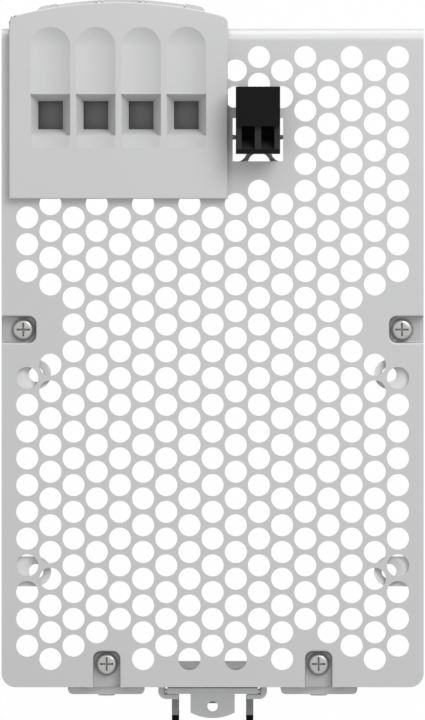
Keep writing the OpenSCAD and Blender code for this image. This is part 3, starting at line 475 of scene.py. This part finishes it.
@dataclass
class SubAssembly:
    """Pieces that belong together on the frame.

    Attributes:
    """

    frame: dict

    def build(self) -> None:
        """Models and dresses the pieces."""
        raise NotImplementedError

    def body(self, node: str) -> str:
        """Returns the name of the body that carries a node."""
        bodies = self.frame["record"]["behaviour"]["bodies"]
        return next(name for name, nodes in bodies.items() if node in nodes)

    def finish(self, node: str) -> Finish:
        """Returns the finish of a node's slot in the record."""
        rows = self.frame["record"]["subparts"]
        return FINISHES[next(row["material_slot"] for row in rows if row["node"] == node)]

    def merged(self, node: str, plain: bool = True) -> Piece:
        """Copies a node's solid as one closed mesh.

        Args:
            node: The node.
            plain: Whether the triangles of each flat face become one face.

        Returns:
            The copy, with the node's finish.
        """
        piece = bpy.data.objects.new(f"{node}_shell", self.frame["nodes"][node].data.copy())
        bpy.context.scene.collection.objects.link(piece)
        with editing(piece):
            bpy.ops.mesh.select_all(action="SELECT")
            bpy.ops.mesh.remove_doubles(threshold=MERGE)
            if plain:
                bpy.ops.mesh.dissolve_limited(angle_limit=FLAT)
                bpy.ops.mesh.vert_connect_concave()
            bpy.ops.mesh.customdata_custom_splitnormals_clear()
        self.dress(piece, self.finish(node))
        return piece

    @staticmethod
    def dress(piece: Piece, finish: Finish) -> None:
        """Gives a piece one finish all over."""
        piece.data.materials.clear()
        piece.data.materials.append(finish.material())

    def settle(self, piece: Piece, node: str) -> None:
        """Puts a finished piece on the frame in a node's stead.

        Args:
            piece: The piece.
            node: The node that it stands for.
        """
        smooth(piece)
        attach(piece, self.body(node))
        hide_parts(node)
        LOG.info("%s for %s, %d faces", piece.name, node, len(piece.data.polygons))

    def settle_copies(self, model: Piece, places: Iterable[Matrix], node: str) -> None:
        """Puts copies of a modelled piece on the frame in a node's stead, and takes the model away.

        Args:
            model: The piece, modelled once at the origin.
            places: Where each copy goes.
            node: The node that they stand for, as one piece.
        """
        made = []
        for place in places:
            mesh = model.data.copy()
            mesh.transform(place)
            made.append(bpy.data.objects.new(f"{node}_set", mesh))
            bpy.context.scene.collection.objects.link(made[-1])
        bpy.data.objects.remove(model)
        take(made[0])
        for copy in made:
            copy.select_set(True)
        bpy.ops.object.join()
        self.settle(made[0], node)

    def softened(self, widths: dict[str, float]) -> None:
        """Shows nodes with their edges rounded.

        Args:
            widths: Each node and the width of its rounds, in millimetres.
        """
        for node, width in widths.items():
            piece = self.merged(node)
            soften(piece, width)
            self.settle(piece, node)


@dataclass
class PanScrew:
    """A pan head screw with a flange and a narrow cross recess, at the origin with its head up.

    The lengths of the head are those of a head with the radius model_r, and are scaled to this one.

    Attributes:
        head_r, shank_r, shank_l: Radius of the flange, and radius and length of the thread.
        model_r: Radius of the head that the lengths are given for.
        flange_h: Height of the flange.
        dome: The inset and rise of each step from the flange to the top.
        slot_size, slot_z: Size of the cutter of one slot of the cross, and height of its middle.
        slot_taper: The cutter's size at its lower end, as a share of its size above.
        recess_r, recess_z: Reach of the recess from the axis, and the heights its floor is between.
        recess_slope: The greatest cosine between the axis and the normal of a recess's wall.
        pitch, root: Pitch of the thread, and its root as a share of its radius.
        sides: Sides of the round faces.
    """

    head_r: float
    shank_r: float
    shank_l: float
    model_r: float = 2.25
    flange_h: float = 0.3
    dome: Steps = ((0.31, 0.0), (0.01, 0.68), (0.06, 0.16), (0.14, 0.14), (0.25, 0.10), (0.5, 0.04))
    slot_size: Point = (3.1, 0.42, 1.0)
    slot_z: float = 1.25
    slot_taper: float = 0.6
    recess_r: float = 1.6
    recess_z: Span = (0.7, 0.9)
    recess_slope: float = 0.7
    pitch: float = 0.5
    root: float = 0.86
    sides: int = 40

    @property
    def scale(self) -> float:
        """The head's size, as a share of the one that the lengths are given for."""
        return self.head_r / self.model_r

    def model(self) -> Piece:
        """Models the screw.

        Returns:
            The screw, with its finishes.
        """
        scale = self.scale
        screw = drum(self.head_r, self.flange_h * scale, self.sides)
        with editing(screw):
            pick_faces(screw, lambda middle, normal: normal.z > FACING)
            grow_dome((inset * scale, rise * scale) for inset, rise in self.dome)
            pick_faces(screw, lambda middle, normal: normal.z < -FACING)
            bpy.ops.mesh.inset(thickness=(self.head_r - self.shank_r) * MM)
            for _ in range(int(self.shank_l / self.pitch)):
                for share in (self.root, 1.0 / self.root):
                    push(-self.pitch / 2)
                    widen(share)
        for turn in (0.0, math.pi / 2):
            self.cut_slot(screw, turn)
        SubAssembly.dress(screw, ZINC)
        # Painted shade: the flange takes a darker finish, as if in the head's shade.
        paint_faces(screw, FLANGE_SHADE, lambda middle, normal: 0.0 < middle.z < (self.flange_h + TOUCH) * scale)
        # Painted shade: the cross recess's floor and walls take a darker finish.
        paint_faces(screw, RECESS_SHADE, self.in_recess)
        return screw

    def in_recess(self, middle: Vector, normal: Vector) -> bool:
        """Tells if a face belongs to the cross recess's floor or walls, which take painted shade."""
        place = middle / self.scale
        low, high = self.recess_z
        within = place.xy.length < self.recess_r and place.z > low
        return within and (place.z < high or normal.z < self.recess_slope)

    def cut_slot(self, screw: Piece, turn: float) -> None:
        """Cuts one tapered slot of the cross.

        Args:
            screw: The screw.
            turn: The slot's turn about the screw's axis.
        """
        bpy.ops.mesh.primitive_cube_add(size=MM, location=(0.0, 0.0, self.slot_z * self.scale * MM))
        cutter = bpy.context.object
        cutter.scale = Vector(self.slot_size) * self.scale
        cutter.rotation_euler = (0.0, 0.0, turn)
        bpy.ops.object.transform_apply()
        with editing(cutter):
            pick_faces(cutter, lambda middle, normal: normal.z < -FACING)
            widen(self.slot_taper)
        take(screw)
        slot = screw.modifiers.new("slot", "BOOLEAN")
        slot.object = cutter
        slot.operation = "DIFFERENCE"
        slot.solver = "EXACT"
        bpy.ops.object.modifier_apply(modifier=slot.name)
        bpy.data.objects.remove(cutter)


@dataclass
class DomeRivet:
    """A rivet at the origin: a domed head up, a shank and, where it has one, a flat head below.

    Attributes:
        head_r, shank_r: Radius of both heads and of the shank.
        grip: Thickness that the rivet holds.
        rise, brim: Height of the domed head, and the share of it that is straight.
        dome: The inset and rise of each step of the dome, as shares of its radius and height.
        foot, foot_taper: Height of the flat head, or 0 for none, and the share of its size at its end.
        sides: Sides of the round faces.
    """

    head_r: float
    shank_r: float
    grip: float
    rise: float
    foot: float = 0.0
    brim: float = 0.35
    dome: Steps = ((0.12, 0.38), (0.18, 0.31), (0.25, 0.22), (0.25, 0.09))
    foot_taper: float = 0.85
    sides: int = 32

    def model(self) -> Piece:
        """Models the rivet.

        Returns:
            The rivet, with its finish.
        """
        edge = self.rise * self.brim
        crown = self.rise - edge
        rivet = drum(self.head_r, edge, self.sides)
        with editing(rivet):
            pick_faces(rivet, lambda middle, normal: normal.z > FACING)
            grow_dome((self.head_r * inset, crown * lift) for inset, lift in self.dome)
            pick_faces(rivet, lambda middle, normal: normal.z < -FACING)
            bpy.ops.mesh.inset(thickness=(self.head_r - self.shank_r) * MM)
            push(-self.grip)
            if self.foot:
                push(0.0)
                widen(self.head_r / self.shank_r)
                push(-self.foot)
                widen(self.foot_taper)
        SubAssembly.dress(rivet, ZINC)
        return rivet


@dataclass(frozen=True)
class RearPockets:
    """The two pockets at a wing's rear edge.

    Attributes:
        mid_x: How far their middles are from the part's middle.
        screw_y: Where their screws stand along Y.
        length: How far they run in from the rear edge.
    """

    mid_x: float
    screw_y: float
    length: float


@dataclass
class Housing(SubAssembly):
    """The folded sheets with their pockets, screws, brackets and rivets.

    Attributes:
        half_w, rear_y: Half the housing's width, and where its wings end.
        top_z, pocket_floor: Heights of the upper wing's face and of its pockets' floors.
        side_screw: Where the screw of a side pocket stands, in X and Y.
        pocket_half, side_pocket_l: Half a pocket's width, and how far a side pocket runs in.
        top_rear, low_rear: The rear pockets of the upper and the lower wing.
        front_screws: Where the front sheet's screws stand.
        rim_round, floor_round: Widths of the rounds at a pocket's rim and floor.
        pad: Width of the flat band around a pocket.
        rim_slack: How far an edge of a rim may be outside its pocket.
        paint_inset, paint_drop: How far a pocket's painted shade stays inside its rim and below it.
        bracket_round: Width of the rounds on the brackets.
        rivet_place: Where a bracket's rivet stands.
        lug_low, lug_gap: Where the lugs begin, in X and Z, and how far from the part's side they end.
        lug_y, lug_half: The lugs' middles along Y, and half their length.
    """

    half_w: float = 41.0
    top_z: float = 62.0
    pocket_floor: float = 59.7
    rear_y: float = -5.4
    side_screw: Span = (36.8, -74.9)
    pocket_half: float = 2.6
    side_pocket_l: float = 6.7
    top_rear: RearPockets = RearPockets(mid_x=20.6, screw_y=-9.9, length=7.0)
    low_rear: RearPockets = RearPockets(mid_x=21.3, screw_y=-8.0, length=5.0)
    front_screws: tuple[Point, ...] = ((-31.5, -133.4, -56.0), (-13.5, -133.4, -56.0))
    rim_round: float = 0.3
    floor_round: float = 0.5
    pad: float = 1.4
    rim_slack: float = 0.02
    paint_inset: float = 0.1
    paint_drop: float = 0.2
    bracket_round: float = 0.12
    rivet_place: Point = (20.7, -3.98, 51.0)
    lug_low: Span = (31.2, 59.0)
    lug_gap: float = 1.0
    lug_y: Span = (-66.2, -27.9)
    lug_half: float = 3.0

    def build(self) -> None:
        """Models and dresses the pieces."""
        self.cover("front_cover", 1.0, self.top_rear)
        self.cover("bottom_cover", -1.0, self.low_rear)
        self.softened({"rear_brackets": self.bracket_round})
        # Painted light: the lugs under the upper wing are made paler than the rest of the chassis.
        paint_faces(self.frame["nodes"]["chassis"], LUG_LIGHT, self.on_lug)
        self.screws()
        self.rivets()

    def in_pocket(self, point: Vector, rear: RearPockets, slack: float) -> bool:
        """Tells if a point lies in one of a wing's four pockets, seen from above.

        Args:
            point: The point.
            rear: The wing's rear pockets.
            slack: How far a point may be outside.

        Returns:
            True in or on the edge of a pocket.
        """
        x = abs(point.x)
        beside = abs(point.y - self.side_screw[1]) < self.pocket_half + slack
        behind = abs(x - rear.mid_x) < self.pocket_half + slack
        return (beside and x > self.half_w - self.side_pocket_l - slack) or (
            behind and point.y > self.rear_y - rear.length - slack
        )

    def on_lug(self, middle: Vector, normal: Vector) -> bool:
        """Tells if a face belongs to one of the four lugs under the upper wing, whatever its normal."""
        x, z = self.lug_low
        inside = x < abs(middle.x) < self.half_w - self.lug_gap and z < middle.z < self.top_z
        return inside and any(abs(middle.y - y) < self.lug_half for y in self.lug_y)

    def pad_borders(self, rear: RearPockets) -> list[tuple[Vector, Vector]]:
        """Gives the straight cuts that frame a wing's four pockets.

        Args:
            rear: The wing's rear pockets.

        Returns:
            A point on each cut, in millimetres, and the cut's normal.
        """
        half = self.pocket_half + self.pad
        across = [sign * (self.half_w - self.side_pocket_l - self.pad) for sign in (1.0, -1.0)]
        across += [sign * rear.mid_x + edge * half for sign in (1.0, -1.0) for edge in (1.0, -1.0)]
        side_y = self.side_screw[1]
        along = [side_y + half, side_y - half, self.rear_y - rear.length - self.pad]
        cuts = [(Vector((x, 0.0, 0.0)), Vector((1.0, 0.0, 0.0))) for x in across]
        return cuts + [(Vector((0.0, y, 0.0)), Vector((0.0, 1.0, 0.0))) for y in along]

    def cover(self, node: str, side: float, rear: RearPockets) -> None:
        """Rounds the rims and floors of a cover's pressed pockets, and paints shade into the pockets.

        Args:
            node: The cover.
            side: 1 for the upper wing and -1 for the lower one.
            rear: The wing's rear pockets.
        """
        floor = self.pocket_floor - TOUCH
        piece = self.merged(node, plain=False)
        with editing(piece):
            for point, normal in self.pad_borders(rear):
                pick_faces(piece, lambda middle, up: side * up.z > SQUARE
                           and side * middle.z > self.top_z - TOUCH)
                bpy.ops.mesh.bisect(plane_co=point * MM, plane_no=normal)
            pick_faces(piece, lambda middle, up: side * middle.z > floor
                       and self.in_pocket(middle, rear, self.pad))
            bpy.ops.mesh.dissolve_limited(angle_limit=FLAT)
        for level, width in ((self.top_z, self.rim_round), (self.pocket_floor, self.floor_round)):
            with editing(piece, "EDGE"):
                pick_edges(piece, lambda *ends: all(
                    abs(side * point.z - level) < TOUCH and self.in_pocket(point, rear, self.rim_slack)
                    for point in ends
                ))
                bevel_picked(width)
        # Painted shade: the pockets' walls and floors take the darker sheet.
        ceiling = self.top_z - self.paint_drop
        paint_faces(piece, POCKET_SHADE, lambda middle, normal: floor < side * middle.z < ceiling
                    and self.in_pocket(middle, rear, -self.paint_inset))
        self.settle(piece, node)

    def screws(self) -> None:
        """Puts the screws in their pockets and in the front sheet."""
        over = Matrix.Rotation(math.pi, 4, "X")
        ahead = Matrix.Rotation(math.pi / 2, 4, "X")
        for node, turn, level, rear in (
            ("top_cover_screws", Matrix.Identity(4), self.pocket_floor, self.top_rear),
            ("bottom_cover_screws", over, -self.pocket_floor, self.low_rear),
        ):
            spots = (self.side_screw, (rear.mid_x, rear.screw_y))
            places = [at(sign * x, y, level, turn) for x, y in spots for sign in (1.0, -1.0)]
            model = PanScrew(head_r=2.25, shank_r=1.45, shank_l=5.0).model()
            self.settle_copies(model, places, node)
        places = [at(*place, ahead) for place in self.front_screws]
        model = PanScrew(head_r=2.025, shank_r=1.0, shank_l=2.4).model()
        self.settle_copies(model, places, "front_screws")

    def rivets(self) -> None:
        """Puts the rivets through the brackets and the rear wall."""
        behind = Matrix.Rotation(-math.pi / 2, 4, "X")
        x, y, z = self.rivet_place
        places = [at(side * x, y, end * z, behind) for side in (1.0, -1.0) for end in (1.0, -1.0)]
        model = DomeRivet(head_r=1.62, shank_r=1.2, grip=2.44, rise=0.42, foot=0.4, brim=0.75).model()
        self.settle_copies(model, places, "bracket_rivets")


@dataclass
class TerminalBlock(SubAssembly):
    """A block of lever terminals with its springs, bars and levers.

    Attributes:
        side: The first word of its nodes' names.
        poles, pitch: Its number of poles, and the distance between two.
        up: 1 for the block on the upper wing and -1 for the one on the lower wing.
        mid_x, top_z: The block's middle, and the height of its outer face.
        entry_half, entry_y: Half the width of a pole's wire entry and trough, and where they lie.
        rim_fold: The least fold of an entry's rim, in degrees.
        outline_round, lever_round: Widths of the rounds on the outer face and on the levers.
    """

    side: str
    poles: int
    up: float = 1.0
    mid_x: float = 18.3
    pitch: float = 8.8
    top_z: float = 63.8
    entry_half: float = 3.9
    entry_y: Span = (-134.0, -110.0)
    outline_round: float = 0.25
    rim_fold: float = 10.0
    lever_round: float = 0.12

    def build(self) -> None:
        """Models and dresses the pieces."""
        block = self.merged(f"{self.side}_terminal")
        with editing(block, "EDGE"):
            pick_edges(block, lambda *ends: self.on_face(*ends) and not self.at_entry(*ends))
            bevel_picked(self.outline_round)
        with editing(block, "EDGE"):
            pick_edges(block, lambda *ends: self.on_face(*ends) and self.at_entry(*ends), self.rim_fold)
            bpy.ops.mesh.mark_sharp()
        self.settle(block, f"{self.side}_terminal")
        self.softened({f"{self.side}_lever_{pole + 1}": self.lever_round for pole in range(self.poles)})
        inside = {"lever_pin": 0.1, "clamps": 0.05, "busbars": 0.1}
        self.softened({f"{self.side}_{name}": width for name, width in inside.items()})

    def on_face(self, start: Vector, end: Vector) -> bool:
        """Tells if both ends of an edge lie on the block's outer face."""
        return min(self.up * start.z, self.up * end.z) > self.top_z - TOUCH

    def at_entry(self, start: Vector, end: Vector) -> bool:
        """Tells if an edge's middle is at a wire entry or its trough, seen from above."""
        middle = (start + end) / 2.0
        poles = [self.mid_x + (pole - (self.poles - 1) / 2.0) * self.pitch for pole in range(self.poles)]
        return self.entry_y[0] < middle.y < self.entry_y[1] and any(
            abs(middle.x - x) < self.entry_half for x in poles
        )


@dataclass
class SignalSide(SubAssembly):
    """The pluggable connector, its header and board, the lamp and the trimmer.

    Attributes:
        plug_round: Width of the rounds on the plug.
        step_y, step_z: Where the step around the plug's wire entries lies, which takes painted light.
        step_slope: The least cosine between Z and the normal of one of its faces.
    """

    plug_round: float = 0.08
    step_y: Span = (-114.3, -109.9)
    step_z: Span = (64.5, 69.9)
    step_slope: float = 0.3

    def build(self) -> None:
        """Models and dresses the pieces."""
        self.plug()
        self.softened({
            "plug_screws": 0.1, "plug_header": 0.1, "header_pins": 0.1, "signal_board": 0.1,
            "status_lamp": 0.15, "light_pipe": 0.1, "trimmer_body": 0.2, "trimmer_rotor": 0.1,
        })

    def plug(self) -> None:
        """Rounds the plug, with painted light on the step and slopes around its wire entries."""
        front, rear = self.step_y
        low, high = self.step_z
        piece = self.merged("signal_plug")
        soften(piece, self.plug_round)
        with editing(piece):
            pick_faces(piece, lambda middle, normal: normal.z > FACING and middle.y > front)
            cut_at_y(rear)
        # Painted light: the step and the slopes around the wire entries take the paler black.
        paint_faces(piece, PLUG_STEP_LIGHT, lambda middle, normal: normal.z > self.step_slope
                    and front < middle.y < rear and low < middle.z < high)
        self.settle(piece, "signal_plug")


@dataclass
class RailFoot(SubAssembly):
    """The pressed foot with its hooks, the sliding latch and the latch's coil spring.

    Attributes:
        foot_round, latch_round: Widths of the rounds on the foot and on the latch.
        hook_x: Where the hooks and teeth lie on either side of the middle.
        hook_y, bend_y, tip_y: Where their painted shade begins, deepens and turns black.
        stop_z, stop_slack: Height of the faces that stop the latch, which take painted shade, and how far
            off a face may be.
        rivet_x, rivet_y, rivet_z: Where the rivets stand.
        coil_y, coil_z: The spring's axis and its two ends.
        coil_r, wire_r: Radius of its turns and of its wire.
        turns, turn_points: Its number of turns, and the points in each.
        closed_turns: How many turns are closed at each end.
        closed_lead: Rise of a closed turn, as a share of the wire's thickness.
        stroke: How far the latch presses it together; not used.
    """

    foot_round: float = 0.15
    latch_round: float = 0.12
    hook_x: Span = (6.6, 8.05)
    hook_y: float = -2.6
    bend_y: float = -0.5
    tip_y: float = 0.72
    stop_z: float = 44.0
    stop_slack: float = 0.1
    rivet_x: Span = (-5.0, 5.0)
    rivet_y: float = -7.27
    rivet_z: Span = (-35.0, 53.0)
    coil_y: float = -6.5
    coil_r: float = 1.0
    wire_r: float = 0.2
    coil_z: Span = (18.0, 36.9)
    turns: int = 11
    closed_turns: float = 1.25
    closed_lead: float = 1.06
    turn_points: int = 18
    stroke: float = 3.5

    def build(self) -> None:
        """Models and dresses the pieces."""
        self.hooked("rail_foot", self.foot_round)
        self.hooked("latch_slider", self.latch_round)
        self.rivets()
        self.coil()

    def hooked(self, node: str, width: float) -> None:
        """Rounds a piece, and paints shade on its hooks or teeth, deeper towards their tips, and on the
        faces that stop the latch.

        Args:
            node: The piece's node.
            width: Width of its rounds, in millimetres.
        """
        piece = self.merged(node)
        soften(piece, width)
        for border in (self.hook_y, self.bend_y, self.tip_y):
            with editing(piece):
                bpy.ops.mesh.select_all(action="SELECT")
                cut_at_y(border)
        # Painted shade: hooks and teeth darken in steps towards their tips, and the stop faces take the
        # first step.
        paint_faces(piece, STEEL_SHADE, lambda middle, normal: self.on_hook(middle, self.hook_y)
                    or (normal.z > FACING and abs(middle.z - self.stop_z) < self.stop_slack))
        paint_faces(piece, HOOK_DEEP_SHADE, lambda middle, normal: self.on_hook(middle, self.bend_y))
        paint_faces(piece, HOOK_TIP_SHADE, lambda middle, normal: self.on_hook(middle, self.tip_y))
        self.settle(piece, node)

    def rivets(self) -> None:
        """Puts the rivets through the foot's end flanges, heads inwards."""
        ahead = Matrix.Rotation(math.pi / 2, 4, "X")
        places = [at(x, self.rivet_y, z, ahead) for x in self.rivet_x for z in self.rivet_z]
        model = DomeRivet(head_r=1.75, shank_r=1.2, grip=1.85, rise=0.7).model()
        self.settle_copies(model, places, "foot_rivets")

    def on_hook(self, middle: Vector, least_y: float) -> bool:
        """Tells if a point is on a hook or tooth, behind a place along Y."""
        return self.hook_x[0] < abs(middle.x) < self.hook_x[1] and middle.y > least_y

    def wire_place(self, turn: float) -> Vector:
        """Gives a place on the spring's wire.

        Args:
            turn: How many turns it is from the lower end.

        Returns:
            The place, in millimetres.
        """
        lead = 2.0 * self.wire_r * self.closed_lead
        low = self.coil_z[0] + self.wire_r
        high = self.coil_z[1] - self.wire_r
        span = high - low - 2.0 * self.closed_turns * lead
        rise = min(max((turn - self.closed_turns) / (self.turns - 2.0 * self.closed_turns), 0.0), 1.0)
        ends = min(turn, self.closed_turns) + max(turn - self.turns + self.closed_turns, 0.0)
        angle = 2.0 * math.pi * turn
        return Vector((
            self.coil_r * math.cos(angle),
            self.coil_y + self.coil_r * math.sin(angle),
            low + lead * ends + span * rise,
        ))

    def coil(self) -> None:
        """Winds the latch's spring, with closed turns at both ends."""
        curve = bpy.data.curves.new("latch_coil", "CURVE")
        curve.dimensions = "3D"
        curve.bevel_depth = self.wire_r * MM
        curve.bevel_resolution = 3
        curve.use_fill_caps = True
        wire = curve.splines.new("POLY")
        wire.points.add(self.turns * self.turn_points)
        for step, point in enumerate(wire.points):
            point.co = (*(self.wire_place(step / self.turn_points) * MM), 1.0)
        coil = bpy.data.objects.new("latch_coil", curve)
        bpy.context.scene.collection.objects.link(coil)
        take(coil)
        bpy.ops.object.convert(target="MESH")
        coil = bpy.context.object
        with editing(coil):
            bpy.ops.mesh.select_all(action="SELECT")
            bpy.ops.mesh.remove_doubles(threshold=MERGE)
            bpy.ops.mesh.normals_make_consistent(inside=False)
        self.dress(coil, SPRING)
        self.settle(coil, "latch_spring")
        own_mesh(coil)


@dataclass
class Electronics(SubAssembly):
    """The boards and the parts that they carry.

    Attributes:
        seat_y: The board's face that the parts stand on.
        pin_tops: Where the pins of each part on pins leave its body.
        cans: The radius and length of each group of cans.
        can_top: Each step of a can's top: an inset as a share of its radius, a plain inset and a rise.
        bare_depth: The depths under the rim that a can's bare top lies between.
        fuse_glass: Where the fuse's glass shows between its caps, along Z.
        groove_floors: Where the floor of each choke's winding grooves lies.
        groove_slack: How far a face of the windings may be from there.
        front_slope: The least cosine between -Y and the normal of a bare top or winding.
        part_round, choke_round, fuse_round: Widths of the rounds on these parts.
    """

    seat_y: float = -103.7
    part_round: float = 0.15
    pin_tops: tuple[tuple[str, float], ...] = (
        ("filter_capacitor", -104.7), ("bridge_rectifier", -106.0), ("switch_transistors", -107.0),
        ("transformer_coil", -105.2), ("signal_relay", -104.5),
    )
    cans: tuple[tuple[str, float, float], ...] = (
        ("bulk_capacitors", 8.0, 25.0), ("output_capacitors", 3.4, 11.5),
    )
    can_top: tuple[Point, ...] = ((0.2, 0.0, 0.0), (0.0, 0.05, -0.25), (0.1, 0.0, 0.12))
    bare_depth: Span = (0.01, 0.3)
    fuse_round: float = 0.1
    fuse_glass: Span = (-30.0, -20.5)
    choke_round: float = 0.3
    groove_floors: tuple[tuple[str, float], ...] = (("filter_choke", -120.5), ("output_inductor", -114.5))
    groove_slack: float = 0.35
    front_slope: float = 0.5

    def build(self) -> None:
        """Models and dresses the pieces."""
        self.softened({
            "main_board": 0.1, "card_guides": 0.3, "insulating_foil": 0.05, "heat_sink": 0.15,
            "transformer_core": 0.3,
        })
        for node, top in self.pin_tops:
            main = TAPE if node == "transformer_coil" else self.finish(node)
            self.painted(node, self.part_round, main, TIN, lambda middle, normal: middle.y > top + TOUCH)
        for node, radius, length in self.cans:
            self.can(node, radius, length)
        for node, floor in self.groove_floors:
            self.painted(node, self.choke_round, self.finish(node), COPPER, lambda middle, normal:
                         normal.y < -self.front_slope and abs(middle.y - floor) < self.groove_slack)
        low, high = self.fuse_glass
        self.painted("fuse", self.fuse_round, self.finish("fuse"), TIN, lambda middle, normal:
                     not low < middle.z < high)

    def painted(self, node: str, width: float, main: Finish, other: Finish, test: Test) -> None:
        """Rounds a part that shows two finishes.

        Args:
            node: The part.
            width: Width of its rounds, in millimetres.
            main: Its main finish.
            other: The finish of its pins, caps or windings.
            test: Tells if a face has the other finish.
        """
        piece = self.merged(node)
        soften(piece, width)
        self.dress(piece, main)
        paint_faces(piece, other, test)
        self.settle(piece, node)

    def can(self, node: str, radius: float, length: float) -> None:
        """Sinks the bare tops of a group of cans into their sleeves.

        Args:
            node: The cans.
            radius, length: A can's radius and length.
        """
        top = self.seat_y - length
        piece = self.merged(node)
        with editing(piece):
            pick_faces(piece, lambda middle, normal: normal.y < -EXACT and middle.y < top + TOUCH / 2)
            grow_dome((radius * share + inset, rise) for share, inset, rise in self.can_top)
        paint_faces(piece, TIN, lambda middle, normal: normal.y < -self.front_slope
                    and self.bare_depth[0] < middle.y - top < self.bare_depth[1])
        self.settle(piece, node)


@dataclass(frozen=True)
class Lamp:
    """A broad square lamp.

    Attributes:
        name, power: Its name, and its power in watts.
        place, size: Where it hangs, and the length of its side, in metres.
    """

    name: str
    place: Point
    size: float
    power: float


@dataclass
class Studio:
    """Camera, lamps, world and floor, for a long lens straight over the upper wing.

    Attributes:
        frame_height, lens_distance: Height of the view and distance of the lens at the upper wing.
        sensor, clip_end: Width of the camera's sensor in millimetres, and how far it sees.
        aim, wing_z: The middle of the view on the upper wing.
        floor_z, floor_size: Height of the floor, and length of its side.
        floor_colour, floor_roughness: The floor's grey and its roughness.
        floor_share: How far the floor is plain white to rays that show it.
        world_light: Strength of the world's light on the part.
        lamps: The key lamp, and the one that fills the front.
    """

    frame_height: float = 139.9 * MM
    lens_distance: float = 3.58
    sensor: float = 36.0
    clip_end: float = 100.0
    wing_z: float = 62.0 * MM
    aim: Span = (0.02 * MM, -68.99 * MM)
    floor_z: float = -0.40
    floor_size: float = 60.0
    floor_colour: float = 0.96
    floor_roughness: float = 0.9
    floor_share: float = 0.97
    world_light: float = 0.56
    lamps: tuple[Lamp, ...] = (
        Lamp("key_lamp", (-0.25, -0.42, 0.50), size=0.30, power=1.78),
        Lamp("front_fill", (0.0, -0.75, 0.08), size=0.5, power=1.85),
    )

    def build(self) -> None:
        """Makes the camera, the lamps, the world and the floor."""
        self.camera()
        self.world()
        for plan in self.lamps:
            self.lamp(plan)
        self.floor()
        bpy.context.scene.view_settings.view_transform = "Standard"

    def camera(self) -> None:
        """Adds the camera, with the image's top towards the front and its right towards -X."""
        bpy.ops.object.camera_add(
            location=(*self.aim, self.wing_z + self.lens_distance),
            rotation=(0.0, 0.0, math.pi),
        )
        camera = bpy.context.object
        camera.data.sensor_width = self.sensor
        camera.data.lens = self.sensor * self.lens_distance / self.frame_height
        camera.data.clip_end = self.clip_end
        bpy.context.scene.camera = camera

    def world(self) -> None:
        """Lights the scene evenly, and shows plain white to camera, glossy and transmitted rays."""
        world = bpy.data.worlds.new("studio_world")
        bpy.context.scene.world = world
        world.use_nodes = True
        tree = world.node_tree
        lit = tree.nodes["Background"]
        wired(tree, lit, {"Color": WHITE, "Strength": self.world_light}, {})
        seen = wired(tree, "ShaderNodeBackground", {"Color": WHITE}, {})
        mix = wired(tree, "ShaderNodeMixShader", {}, {
            "Fac": seen_ray(tree), 1: lit.outputs["Background"], 2: seen.outputs["Background"],
        })
        wired(tree, tree.nodes["World Output"], {}, {"Surface": mix.outputs["Shader"]})

    def lamp(self, plan: Lamp) -> None:
        """Adds a lamp that faces the upper wing's middle.

        Args:
            plan: The lamp's name, place, size and power.
        """
        bpy.ops.object.light_add(type="AREA", location=plan.place)
        lamp = bpy.context.object
        lamp.name = plan.name
        lamp.data.size = plan.size
        lamp.data.energy = plan.power
        target = Vector((*self.aim, self.wing_z))
        lamp.rotation_euler = (target - lamp.location).to_track_quat("-Z", "Y").to_euler()

    def floor(self) -> None:
        """Adds the pale floor, far below the part that its rail holds up."""
        bpy.ops.mesh.primitive_plane_add(size=self.floor_size, location=(0.0, 0.0, self.floor_z))
        floor = bpy.context.object
        floor.name = "floor"
        material = bpy.data.materials.new("floor")
        material.use_nodes = True
        tree = material.node_tree
        shader = tree.nodes["Principled BSDF"]
        grey = (*(self.floor_colour,) * 3, 1.0)
        wired(tree, shader, {"Base Color": grey, "Roughness": self.floor_roughness}, {})
        glow = wired(tree, "ShaderNodeEmission", {}, {})
        share = wired(
            tree, "ShaderNodeMath", {1: self.floor_share}, {0: seen_ray(tree)}, operation="MULTIPLY"
        )
        mix = wired(tree, "ShaderNodeMixShader", {}, {
            "Fac": share.outputs["Value"], 1: shader.outputs["BSDF"], 2: glow.outputs["Emission"],
        })
        wired(tree, tree.nodes["Material Output"], {}, {"Surface": mix.outputs["Shader"]})
        floor.data.materials.append(material)


def seen_ray(tree: Tree) -> Socket:
    """Adds nodes that tell rays that show a surface from rays that light one.

    Args:
        tree: The tree that they join.

    Returns:
        A socket that is 1 for camera, glossy and transmission rays, and 0 for the rest.
    """
    path = wired(tree, "ShaderNodeLightPath", {}, {})
    socket = path.outputs["Is Camera Ray"]
    for kind in ("Is Glossy Ray", "Is Transmission Ray"):
        either = wired(tree, "ShaderNodeMath", {}, {0: socket, 1: path.outputs[kind]}, operation="MAXIMUM")
        socket = either.outputs["Value"]
    return socket


def paint(frame: dict) -> None:
    """Gives every carried-over node the finish of its slot in the record.
    """
    for row in frame["record"]["subparts"]:
        SubAssembly.dress(frame["nodes"][row["node"]], FINISHES[row["material_slot"]])


def main() -> None:
    """Loads the frame and dresses it."""
    logging.basicConfig(level=logging.INFO, format="%(name)s: %(message)s")
    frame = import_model()
    Studio().build()
    paint(frame)
    for part in (
        Housing(frame),
        TerminalBlock(frame, side="output", poles=4),
        TerminalBlock(frame, side="input", poles=3, up=-1.0),
        SignalSide(frame),
        RailFoot(frame),
        Electronics(frame),
    ):
        part.build()
        LOG.info("%s done", type(part).__name__)
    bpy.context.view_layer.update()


if __name__ == "__main__":
    main()
